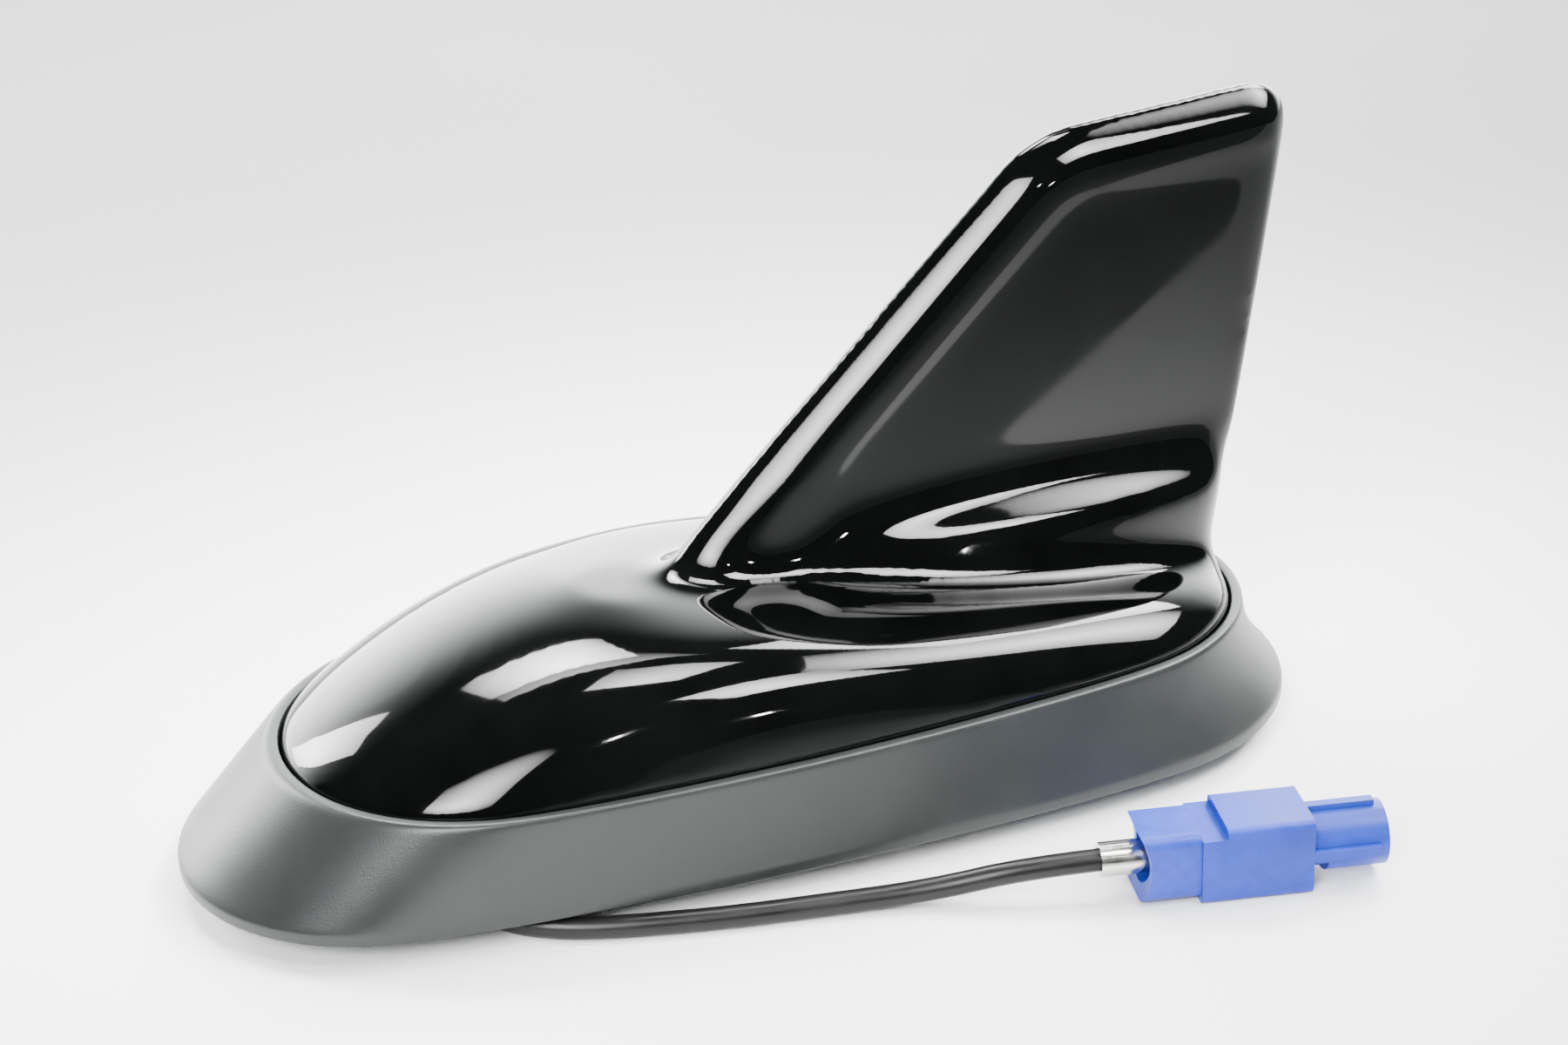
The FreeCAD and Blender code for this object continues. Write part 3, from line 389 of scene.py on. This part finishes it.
def make_fin():
    """The fin's plate, with a rounded rim along its leading and top edges."""
    corners = side_view(LEAD_FOOT, FIN_TIP, TRAIL_FOOT)
    fin = slab("fin", corners, -FIN_HALF, FIN_HALF)
    round_corner(fin, corners[1], BROW_RADIUS, BROW_TURN, CORNER_SEGMENTS)
    round_corner(fin, corners[2], TIP_RADIUS, TIP_TURN, CORNER_SEGMENTS)

    def on_rim(p):
        above = p.z - LEAD_FOOT[1] - (p.x - LEAD_FOOT[0]) * LEAD_SLOPE
        on_edge = above > -TOUCH or p.z > FIN_HEIGHT - RIM_TOP_BAND
        return on_edge and abs(p.y) > FIN_HALF - TOUCH and p.z > LEAD_FOOT[1] - TOUCH

    pick(fin, "edges", on_rim)
    grid = bmesh.from_edit_mesh(fin.data)
    for edge in grid.edges:
        across = abs(edge.verts[0].co.y - edge.verts[1].co.y)
        if across > EVEN * MM or len(edge.link_faces) != 2:
            edge.select = False
    bmesh.update_edit_mesh(fin.data)
    bevel(RIM_RADIUS, RIM_SEGMENTS, profile=RIM_FULLNESS)
    fresh()
    outward(fin)
    return fin


def sink_panel(fin, side):
    """Cut the sunk panel out of one side of the fin with a rounded cutter, and return the cutter's form."""
    foot_x = LEAD_FOOT[0] + (SPINE_TOP - LEAD_FOOT[1]) / LEAD_SLOPE + RIM_WIDTH / math.sin(LEAD_ANGLE)
    rear = FIN_TIP[0] + RIM_WIDTH
    top = FIN_HEIGHT - RIM_WIDTH / math.cos(TOP_ANGLE) + RIM_WIDTH * TOP_SLOPE
    corners = side_view((foot_x, SPINE_TOP), (rear, top), (rear, SPINE_TOP))
    panel_floor = side * (FIN_HALF - PANEL_DEPTH)
    low, high = sorted((panel_floor, side * (FIN_HALF + CUTTER_REACH)))
    cutter = slab("panel_cutter", corners, low, high)
    round_corner(cutter, corners[1], PANEL_BROW, BROW_TURN, PANEL_SEGMENTS)
    round_corner(cutter, corners[0], PANEL_CORNER, math.pi - LEAD_ANGLE, PANEL_SEGMENTS)
    pick(cutter, "edges", lambda p: abs(p.y - panel_floor) < TOUCH)
    bevel(PANEL_FLOOR_RADIUS, PANEL_FLOOR_SEGMENTS)
    fresh()
    outward(cutter)
    cut(fin, cutter)
    form = BVHTree.FromObject(cutter, bpy.context.evaluated_depsgraph_get())
    delete(cutter)
    return form


def round_trailing_edge(fin):
    """Take the sharp corners off the fin's rear face."""
    edit(fin)

    def on_rear_face(p):
        return abs(p.x - TRAIL_FOOT[0] - (p.z - TRAIL_FOOT[1]) * TRAIL_LEAN) < 2 * TOUCH

    pick(fin, "faces", on_rear_face)
    bpy.ops.mesh.region_to_loop()
    bevel(TRAIL_RADIUS, TRAIL_SEGMENTS)
    fresh()


# Gloss housing, melted into one skin from hull, spine and fin

VOXEL, REMESH_TURN = 0.55, math.radians(24)
SEAM_REACH, BORDER_REACH, BORDER_EASE = 8.0, 6.0, 0.35
SMOOTHING, SEAM_PASSES, SKIN_PASSES = 0.5, 200, 34
SPINE_LIFT, ROOM_DROP = 1.0, 2.0
HOUSING_CREASE = 40


def eased(distance, reach):
    """One at no distance, falling smoothly to nothing at the reach."""
    share = max(1 - distance / (reach * MM), 0.0)
    return share * share * (3 - 2 * share)


def seam_weights(housing, forms, panels):
    """Weigh each point by how near it lies to where two forms meet, and more lightly to a panel."""
    group = housing.vertex_groups.new(name="seams")
    for vertex in housing.data.vertices:
        gaps = sorted(form.find_nearest(vertex.co)[3] for form in forms)
        border = min(panel.find_nearest(vertex.co)[3] for panel in panels)
        weight = max(eased(gaps[1], SEAM_REACH), BORDER_EASE * eased(border, BORDER_REACH))
        group.add([vertex.index], weight, "REPLACE")
    return group.name


def make_housing():
    """Hull, spine and fin flow into each other, so they become one skin that is eased at the seams."""
    fin = make_fin()
    panels = [sink_panel(fin, side) for side in (-1, 1)]
    round_trailing_edge(fin)
    hull = make_hull("gloss_housing", HULL_FOOT)
    spine = make_spine("spine", HULL_FOOT + SPINE_LIFT)
    graph = bpy.context.evaluated_depsgraph_get()
    forms = [BVHTree.FromObject(piece, graph) for piece in (hull, spine, fin)]
    work_on(hull)
    spine.select_set(True)
    fin.select_set(True)
    bpy.ops.object.join()
    # The voxels lie askew to the part, so that its level faces don't get steps
    hull.data.transform(Matrix.Rotation(REMESH_TURN, 4, "Y"))
    modify(hull, "REMESH", mode="VOXEL", voxel_size=VOXEL * MM)
    hull.data.transform(Matrix.Rotation(-REMESH_TURN, 4, "Y"))
    seams = seam_weights(hull, forms, panels)
    modify(hull, "SMOOTH", factor=SMOOTHING, iterations=SEAM_PASSES, vertex_group=seams)
    modify(hull, "SMOOTH", factor=SMOOTHING, iterations=SKIN_PASSES)
    rooms = [make_hull("hull_room", HULL_FOOT - ROOM_DROP, WALL), make_spine("spine_room", HULL_FOOT, WALL)]
    for room in rooms:
        cut(hull, room)
        delete(room)
    clear_slivers(hull)
    smooth(hull, HOUSING_CREASE)
    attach(hull, "root")
    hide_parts("fin_housing")
    return hull


# Soft skirt, as rings given by how far each is drawn in and its height or its drop below the lip

SKIRT_BAND, OPENING_INSET, OPENING_TOP = 1.6, 5.0, 2.3
OPENING_EDGE = ((0.0, 1.2), (0.0, 0.2), (-0.2, 0.0))
FOOT_PROFILE = ((5.1, 0.0), (4.8, 0.0), (4.8, 0.5), (4.6, 0.6), (3.6, 0.6), (3.4, 0.5), (3.4, 0.0),
                (3.1, 0.0), (0.5, 0.0), (0.15, 0.0), (0.0, 0.15), (0.0, 0.6), (0.0, SKIRT_BAND - 0.2))
FLARE_SHARES = (0.02, 0.15, 0.35, 0.55, 0.75, 0.9, 0.965)
LIP_PROFILE = ((0.2, 0.05), (0.5, 0.0), (1.1, 0.0), (LIP_WALL - 0.15, 0.05), (LIP_WALL, 0.3),
               (LIP_WALL, 1.5))
SEAT_PROFILE = ((0.0, 2.8), (0.0, 2.5), (0.3, 2.5), (OPENING_INSET - 0.2, 2.5))
SKIRT_CREASE = 50


def flare_ring(share):
    """One outline of the skirt's wall, which hollows between its foot and its lip."""
    foot, waist, lip = (1 - share) * (1 - 2 * share), 4 * share * (1 - share), share * (2 * share - 1)
    outline = {key: foot * SKIRT[key] + waist * WAIST[key] + lip * LIP[key] for key in SKIRT}
    return boat(**outline, height=SKIRT_BAND + (SKIRT_TOP - SKIRT_BAND) * share)


def make_skirt():
    """A closed band of rings: under the foot, up the flared wall, over the lip and down inside."""
    opening, seat = inset(LIP, LIP_WALL + OPENING_INSET), inset(LIP, LIP_WALL)
    rings = [boat(**inset(opening, step), height=height) for step, height in OPENING_EDGE]
    rings += [boat(**inset(SKIRT, step), height=height) for step, height in FOOT_PROFILE]
    rings += [flare_ring(share) for share in FLARE_SHARES]
    rings += [boat(**inset(LIP, step), height=SKIRT_TOP - drop) for step, drop in LIP_PROFILE]
    rings += [boat(**inset(seat, step), height=height) for step, height in SEAT_PROFILE]
    rings += [boat(**opening, height=OPENING_TOP), rings[0]]
    skirt = skin("soft_skirt", rings)
    outward(skirt)
    subdivide(skirt)
    smooth(skirt, SKIRT_CREASE)
    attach(skirt, "root")
    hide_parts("skirt")
    return skirt


# Camera

def make_camera():
    """Camera at the photograph's angle: azimuth, elevation and roll in degrees, distance in millimetres."""
    azimuth, elevation, roll = (math.radians(a) for a in (-20.746, 23.994, -2.848))
    distance, target, lens = 332.43, Vector((5.876, 0.0, 30.835)), 60.19
    turn = (Matrix.Rotation(azimuth, 4, "Z") @ Matrix.Rotation(math.pi / 2 - elevation, 4, "X")
            @ Matrix.Rotation(roll, 4, "Z"))
    back = turn @ Vector((0, 0, 1))
    fresh()
    bpy.ops.object.camera_add(location=(target + back * distance) * MM, rotation=turn.to_euler())
    camera = bpy.context.object
    camera.data.lens = lens
    camera.data.clip_start = 0.01
    bpy.context.scene.camera = camera


# Coax lead, along the route that the part's own solid takes, with heights above the floor

PLUG_PLACE = Vector((28.9, -48.1, FLOOR + 4.9))
PLUG_TURN = math.radians(-14.7)
PLUG_AXIS = Vector((math.cos(PLUG_TURN), math.sin(PLUG_TURN), 0))
LEAD_RADIUS, LEAD_LENGTH = 1.4, 124.0
LEAD_OUTLET = Vector((-13.0, 0.0, FLOOR + LEAD_RADIUS))
LEAD_ROUTE = [(-20.5, 0.0, 1.4), (-29.7, 2.3, 1.4), (-39.0, -1.9, 1.4), (-44.1, -10.8, 1.4),
              (-42.9, -20.9, 1.4), (-36.0, -28.4, 1.4), (-18.0, -34.2, 1.4), (-5.0, -37.0, 1.4),
              (7.0, -40.4, 2.0)]
FERRULE_START, LEAD_STRAIGHT, LEAD_INSERTION = -3.4, 8.0, 3.0


def make_lead():
    """The lead as a round cord from the base's outlet into the plug's ferrule."""
    route = [LEAD_OUTLET] + [Vector((x, y, FLOOR + z)) for x, y, z in LEAD_ROUTE]
    route += [PLUG_PLACE + PLUG_AXIS * (FERRULE_START - LEAD_STRAIGHT),
              PLUG_PLACE + PLUG_AXIS * (FERRULE_START + LEAD_INSERTION)]
    curve = bpy.data.curves.new("coax_cord", "CURVE")
    curve.dimensions = "3D"
    spline = curve.splines.new("NURBS")
    spline.points.add(len(route) - 1)
    for point, place in zip(spline.points, route):
        point.co = (*(place * MM), 1.0)
        point.radius = LEAD_RADIUS * MM
    spline.order_u = 3
    spline.use_endpoint_u = True
    spline.resolution_u = 12
    curve.bevel_depth = 1.0
    curve.bevel_resolution = 6
    curve.use_fill_caps = True
    lead = bpy.data.objects.new("coax_cord", curve)
    bpy.context.scene.collection.objects.link(lead)
    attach(lead, "root")
    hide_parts("coax_lead")
    return lead


# Effects that the finishes share

NUMBER, PLACE = "NodeSocketFloat", "NodeSocketVector"


def new_group(name, inputs, outputs):
    """An empty node group with named sockets, given as kind by name."""
    group = bpy.data.node_groups.new(name, "ShaderNodeTree")
    for label, kind in inputs.items():
        group.interface.new_socket(name=label, in_out="INPUT", socket_type=kind)
    for label, kind in outputs.items():
        group.interface.new_socket(name=label, in_out="OUTPUT", socket_type=kind)
    return group, group.nodes.new("NodeGroupInput"), group.nodes.new("NodeGroupOutput")


def add_node(tree, kind, **values):
    """A new node, with values for the inputs whose names are given with underscores for spaces."""
    node = tree.nodes.new(kind)
    for label, value in values.items():
        node.inputs[label.replace("_", " ")].default_value = value
    return node


def add_math(tree, operation):
    node = tree.nodes.new("ShaderNodeMath")
    node.operation = operation
    return node


def cloudy_group():
    """Soft patches between a low and a high value, as handling and moulding leave them."""
    inputs = {"Vector": PLACE, "Scale": NUMBER, "Low": NUMBER, "High": NUMBER}
    group, given, made = new_group("cloudy", inputs, {"Value": NUMBER, "Mask": NUMBER})
    noise = add_node(group, "ShaderNodeTexNoise", Detail=4.0, Roughness=0.6)
    spread = add_node(group, "ShaderNodeMapRange", From_Min=0.32, From_Max=0.68)
    level = add_node(group, "ShaderNodeMapRange")
    join = group.links.new
    join(given.outputs["Vector"], noise.inputs["Vector"])
    join(given.outputs["Scale"], noise.inputs["Scale"])
    join(noise.outputs["Fac"], spread.inputs["Value"])
    join(spread.outputs["Result"], level.inputs["Value"])
    join(given.outputs["Low"], level.inputs["To Min"])
    join(given.outputs["High"], level.inputs["To Max"])
    join(level.outputs["Result"], made.inputs["Value"])
    join(spread.outputs["Result"], made.inputs["Mask"])
    return group


def grain_group():
    """Height of a fine surface grain: rounded cells with a little noise over them."""
    group, given, made = new_group("grain", {"Vector": PLACE, "Scale": NUMBER, "Waviness": NUMBER},
                                   {"Height": NUMBER})
    cells = add_node(group, "ShaderNodeTexVoronoi")
    cells.feature = "SMOOTH_F1"
    waves = add_node(group, "ShaderNodeTexNoise", Detail=2.0)
    blend = add_node(group, "ShaderNodeMix")
    join = group.links.new
    for texture in (cells, waves):
        join(given.outputs["Vector"], texture.inputs["Vector"])
        join(given.outputs["Scale"], texture.inputs["Scale"])
    join(given.outputs["Waviness"], blend.inputs["Factor"])
    join(cells.outputs["Distance"], blend.inputs["A"])
    join(waves.outputs["Fac"], blend.inputs["B"])
    join(blend.outputs["Result"], made.inputs["Height"])
    return group


def worn_group():
    """Mask of pale rubbed edges: where the surface is sharply convex, broken up by a fine noise."""
    group, given, made = new_group("worn_edges", {"Vector": PLACE, "Amount": NUMBER}, {"Mask": NUMBER})
    shape = add_node(group, "ShaderNodeNewGeometry")
    edge = add_node(group, "ShaderNodeMapRange", From_Min=0.52, From_Max=0.62)
    noise = add_node(group, "ShaderNodeTexNoise", Scale=900.0)
    broken, held = add_math(group, "MULTIPLY"), add_math(group, "MULTIPLY")
    join = group.links.new
    join(given.outputs["Vector"], noise.inputs["Vector"])
    join(shape.outputs["Pointiness"], edge.inputs["Value"])
    join(edge.outputs["Result"], broken.inputs[0])
    join(noise.outputs["Fac"], broken.inputs[1])
    join(broken.outputs["Value"], held.inputs[0])
    join(given.outputs["Amount"], held.inputs[1])
    join(held.outputs["Value"], made.inputs["Mask"])
    return group


# Finishes

CLOUDY, GRAIN, WORN = cloudy_group(), grain_group(), worn_group()
RUB_GAIN, RUB_LIFT = 2.2, 0.04

# Where a Mix node keeps its two colours and their blend
MIX_FROM, MIX_TO, MIX_RESULT = 6, 7, 2


def add_group(tree, group, place, **values):
    """A node group in a material, fed with the piece's own coordinates."""
    node = tree.nodes.new("ShaderNodeGroup")
    node.node_tree = group
    for label, value in values.items():
        node.inputs[label].default_value = value
    tree.links.new(place.outputs["Object"], node.inputs["Vector"])
    return node


def add_mix(tree, mask, colour):
    """A blend towards a colour, as far as a mask says."""
    node = tree.nodes.new("ShaderNodeMix")
    node.data_type = "RGBA"
    node.inputs[MIX_TO].default_value = (*colour, 1.0)
    tree.links.new(mask, node.inputs["Factor"])
    return node


def finish_of(name, dark, light, rough, patch, grain, metallic=0.0, specular=0.5, wear_amount=0.0):
    """A finish: cloudy colour and roughness, a grain given as scale, waviness and depth, and rubbed edges."""
    material = bpy.data.materials.new(name)
    material.use_nodes = True
    tree = material.node_tree
    join = tree.links.new
    shader = tree.nodes["Principled BSDF"]
    shader.inputs["Metallic"].default_value = metallic
    shader.inputs["Specular IOR Level"].default_value = specular
    place = add_node(tree, "ShaderNodeTexCoord")

    cloudy = add_group(tree, CLOUDY, place, Scale=patch, Low=rough[0], High=rough[1])
    join(cloudy.outputs["Value"], shader.inputs["Roughness"])

    colour = add_mix(tree, cloudy.outputs["Mask"], light)
    colour.inputs[MIX_FROM].default_value = (*dark, 1.0)
    shade = colour.outputs[MIX_RESULT]
    if wear_amount:
        worn = add_group(tree, WORN, place, Amount=wear_amount)
        rubbed = add_mix(tree, worn.outputs["Mask"], [min(RUB_GAIN * c + RUB_LIFT, 1.0) for c in light])
        join(shade, rubbed.inputs[MIX_FROM])
        shade = rubbed.outputs[MIX_RESULT]
    join(shade, shader.inputs["Base Color"])

    scale, waviness, depth = grain
    cells = add_group(tree, GRAIN, place, Scale=scale, Waviness=waviness)
    bump = add_node(tree, "ShaderNodeBump", Distance=depth * MM)
    join(cells.outputs["Height"], bump.inputs["Height"])
    join(bump.outputs["Normal"], shader.inputs["Normal"])
    return material


def wear(piece, material):
    """Give a piece one finish and no other."""
    piece.data.materials.clear()
    piece.data.materials.append(material)


make_camera()
lead = make_lead()
housing = make_housing()
skirt = make_skirt()

FINISHES = {
    "housing_gloss": finish_of(
        "polished_black", dark=(0.0006, 0.0008, 0.0007), light=(0.0016, 0.0019, 0.0018),
        rough=(0.025, 0.06), patch=60.0, grain=(160.0, 1.0, 0.003), specular=0.4),
    "skirt_rubber": finish_of(
        "soft_skirt_rubber", dark=(0.0125, 0.0145, 0.0142), light=(0.0185, 0.0208, 0.0204),
        rough=(0.3, 0.4), patch=45.0, grain=(5200.0, 0.5, 0.02), specular=0.36, wear_amount=0.2),
    "die_cast": finish_of(
        "as_cast_alloy", dark=(0.42, 0.42, 0.43), light=(0.56, 0.56, 0.57),
        rough=(0.42, 0.6), patch=120.0, grain=(1500.0, 0.6, 0.03), metallic=1.0, wear_amount=0.5),
    "seal_rubber": finish_of(
        "black_seal", dark=(0.018, 0.018, 0.018), light=(0.03, 0.03, 0.03),
        rough=(0.6, 0.75), patch=90.0, grain=(4000.0, 0.5, 0.01)),
    "seal_foam": finish_of(
        "closed_cell_foam", dark=(0.05, 0.05, 0.052), light=(0.1, 0.1, 0.105),
        rough=(0.8, 0.95), patch=200.0, grain=(2600.0, 0.2, 0.12)),
    "screw_steel": finish_of(
        "zinc_plate", dark=(0.5, 0.5, 0.52), light=(0.66, 0.66, 0.68),
        rough=(0.25, 0.42), patch=300.0, grain=(3000.0, 0.8, 0.004), metallic=1.0, wear_amount=0.3),
    "board_laminate": finish_of(
        "green_solder_mask", dark=(0.012, 0.09, 0.035), light=(0.03, 0.17, 0.07),
        rough=(0.25, 0.4), patch=260.0, grain=(1800.0, 0.5, 0.008)),
    "patch_ceramic": finish_of(
        "fired_ceramic", dark=(0.42, 0.37, 0.3), light=(0.58, 0.53, 0.45),
        rough=(0.5, 0.65), patch=160.0, grain=(2500.0, 0.4, 0.01)),
    "pad_tape": finish_of(
        "foam_tape", dark=(0.62, 0.62, 0.58), light=(0.8, 0.8, 0.76),
        rough=(0.8, 0.9), patch=150.0, grain=(3000.0, 0.3, 0.03)),
    "contact_brass": finish_of(
        "bright_brass", dark=(0.55, 0.4, 0.16), light=(0.72, 0.56, 0.27),
        rough=(0.18, 0.32), patch=400.0, grain=(4000.0, 0.9, 0.002), metallic=1.0),
    "tinned_steel": finish_of(
        "tinned_steel", dark=(0.55, 0.55, 0.56), light=(0.7, 0.7, 0.7),
        rough=(0.25, 0.42), patch=250.0, grain=(2600.0, 0.8, 0.004), metallic=1.0),
    "chip_resin": finish_of(
        "moulded_resin", dark=(0.014, 0.014, 0.015), light=(0.03, 0.03, 0.032),
        rough=(0.55, 0.7), patch=500.0, grain=(6000.0, 0.4, 0.006)),
    "lead_jacket": finish_of(
        "lead_jacket", dark=(0.0018, 0.0018, 0.002), light=(0.0042, 0.0042, 0.0046),
        rough=(0.3, 0.42), patch=220.0, grain=(2800.0, 0.7, 0.008), specular=0.3),
    "nickel_plate": finish_of(
        "nickel_plate", dark=(0.62, 0.61, 0.58), light=(0.78, 0.77, 0.74),
        rough=(0.12, 0.28), patch=500.0, grain=(1600.0, 0.9, 0.01), metallic=1.0),
    "plug_blue": finish_of(
        "plug_blue", dark=(0.004, 0.022, 0.27), light=(0.007, 0.032, 0.35),
        rough=(0.36, 0.5), patch=180.0, grain=(3600.0, 0.5, 0.012), specular=0.32, wear_amount=0.25),
    "insulator_white": finish_of(
        "insulator_white", dark=(0.72, 0.72, 0.69), light=(0.85, 0.85, 0.83),
        rough=(0.35, 0.5), patch=300.0, grain=(3000.0, 0.5, 0.004)),
}
wear(housing, FINISHES["housing_gloss"])
wear(skirt, FINISHES["skirt_rubber"])
wear(lead, FINISHES["lead_jacket"])
for subpart in frame["record"]["subparts"]:
    wear(nodes[subpart["node"]], FINISHES[subpart["material_slot"]])


# Studio

FLOOR_SIZE = 4000.0
# Grey card that shows only in reflections, painting a darker floor into the fin's gloss: its lift and corners
SHADE_CARD_LIFT = 0.3

# Left, far, front and right corner of the card that paints shade into reflections, in the order of a new
# plane's points
SHADE_CARD_CORNERS = [(-1900.0, -700.0), (0.0, -1990.0), (40.0, -62.0), (1900.0, -1670.0)]

# Bright wall behind the part: its turn, where it fades upwards and sideways, and how it and the rest glow
WALL_TURN = math.radians(12)
WALL_FADES = (("Z", 0.72, 0.18), ("Y", 0.3, 0.85))
WALL_GLOW, ROOM_GLOW = 16.0, 0.07


def soft_box(name, azimuth, elevation, distance, size, radiance, grid=42.0, aim=(0.0, 0.0, 20.0)):
    """A gridded soft box: where it stands as seen from the part in degrees, and how bright its face is."""
    turn, rise = math.radians(azimuth), math.radians(elevation)
    towards = Vector((math.cos(rise) * math.cos(turn), math.cos(rise) * math.sin(turn), math.sin(rise)))
    place = towards * distance
    half = math.radians(grid / 2)
    fresh()
    bpy.ops.object.light_add(type="AREA", location=place * MM)
    lamp = bpy.context.object
    lamp.name = name
    lamp.data.shape = "RECTANGLE"
    lamp.data.size, lamp.data.size_y = size[0] * MM, size[1] * MM
    lamp.data.spread = 2 * half
    lamp.data.energy = radiance * math.pi * size[0] * size[1] * MM * MM * (1 - half / math.tan(half))
    lamp.rotation_euler = (place - Vector(aim)).to_track_quat("Z", "Y").to_euler()


def graded_sky():
    """A plain studio: dim all round, with a bright wall behind the part that fades upwards."""
    world = bpy.data.worlds.new("studio")
    bpy.context.scene.world = world
    world.use_nodes = True
    tree = world.node_tree
    join = tree.links.new
    sky = tree.nodes["Background"]
    sky.inputs["Color"].default_value = (0.97, 1.0, 0.99, 1.0)
    place = add_node(tree, "ShaderNodeTexCoord")
    turned = add_node(tree, "ShaderNodeMapping", Rotation=(0.0, 0.0, WALL_TURN))
    parts = add_node(tree, "ShaderNodeSeparateXYZ")
    join(place.outputs["Generated"], turned.inputs["Vector"])
    join(turned.outputs["Vector"], parts.inputs["Vector"])
    wall = add_math(tree, "MULTIPLY")
    for index, (axis, start, end) in enumerate(WALL_FADES):
        fade = tree.nodes.new("ShaderNodeMapRange")
        fade.interpolation_type = "SMOOTHSTEP"
        fade.inputs["From Min"].default_value = start
        fade.inputs["From Max"].default_value = end
        join(parts.outputs[axis], fade.inputs["Value"])
        join(fade.outputs["Result"], wall.inputs[index])
    glow = add_math(tree, "MULTIPLY_ADD")
    glow.inputs[1].default_value = WALL_GLOW
    glow.inputs[2].default_value = ROOM_GLOW
    join(wall.outputs["Value"], glow.inputs[0])
    join(glow.outputs["Value"], sky.inputs["Strength"])


def make_floor():
    fresh()
    bpy.ops.mesh.primitive_plane_add(size=FLOOR_SIZE * MM, location=(0, 0, FLOOR * MM))
    floor = bpy.context.object
    floor.name = "floor"
    wear(floor, finish_of("pale_floor", dark=(0.84, 0.85, 0.84), light=(0.88, 0.89, 0.88),
                          rough=(0.6, 0.75), patch=8.0, grain=(700.0, 0.5, 0.01)))


def make_shade_reflection_card():
    """A grey card on the floor in front of the part, hidden from the camera, from diffuse light and from
    shadows: only reflections see it, so it paints shade into the fin's mirror image of the floor.
    """
    fresh()
    bpy.ops.mesh.primitive_plane_add(size=1)
    card = bpy.context.object
    card.name = "shade_reflection_card"
    for vertex, (x, y) in zip(card.data.vertices, SHADE_CARD_CORNERS):
        vertex.co = Vector((x, y, FLOOR + SHADE_CARD_LIFT)) * MM
    wear(card, finish_of("shade_reflection_card", dark=(0.22, 0.23, 0.225), light=(0.25, 0.26, 0.255),
                         rough=(0.7, 0.8), patch=8.0, grain=(700.0, 0.5, 0.01)))
    # Seen by nothing but reflections: a painted darker reflection, not a card the camera or the light meets
    card.visible_camera = False
    card.visible_diffuse = False
    card.visible_shadow = False


def make_lamps():
    """Soft boxes whose reflections give the photograph's highlights, two bulbs and a wash for the floor."""
    soft_box("nose_panel", azimuth=128, elevation=24, distance=700, size=(150, 360), radiance=60.0,
             grid=40, aim=(-62, 10, 18))
    soft_box("rear_panel", azimuth=100, elevation=57, distance=520, size=(230, 110), radiance=90.0,
             grid=30, aim=(-40, 10, 15))
    soft_box("overhead", azimuth=60, elevation=80, distance=520, size=(170, 130), radiance=50.0,
             grid=36, aim=(0, 30, 10))
    soft_box("left_panel", azimuth=-134, elevation=40, distance=480, size=(250, 310), radiance=56.0)
    soft_box("front_panel", azimuth=-58, elevation=56, distance=520, size=(200, 150), radiance=60.0,
             grid=40, aim=(20, 10, 30))
    soft_box("right_panel", azimuth=-6, elevation=52, distance=520, size=(300, 270), radiance=50.0)
    soft_box("tail_panel", azimuth=34, elevation=47, distance=520, size=(240, 190), radiance=60.0)
    soft_box("near_bulb", azimuth=-94, elevation=36, distance=620, size=(20, 20), radiance=400.0, grid=24)
    soft_box("far_bulb", azimuth=-77, elevation=18, distance=620, size=(20, 20), radiance=400.0, grid=24)
    soft_box("floor_wash", azimuth=88, elevation=55, distance=1050, size=(600, 400), radiance=40.0,
             grid=42, aim=(30, 380, 0))


make_floor()
make_shade_reflection_card()
graded_sky()
make_lamps()
fresh()
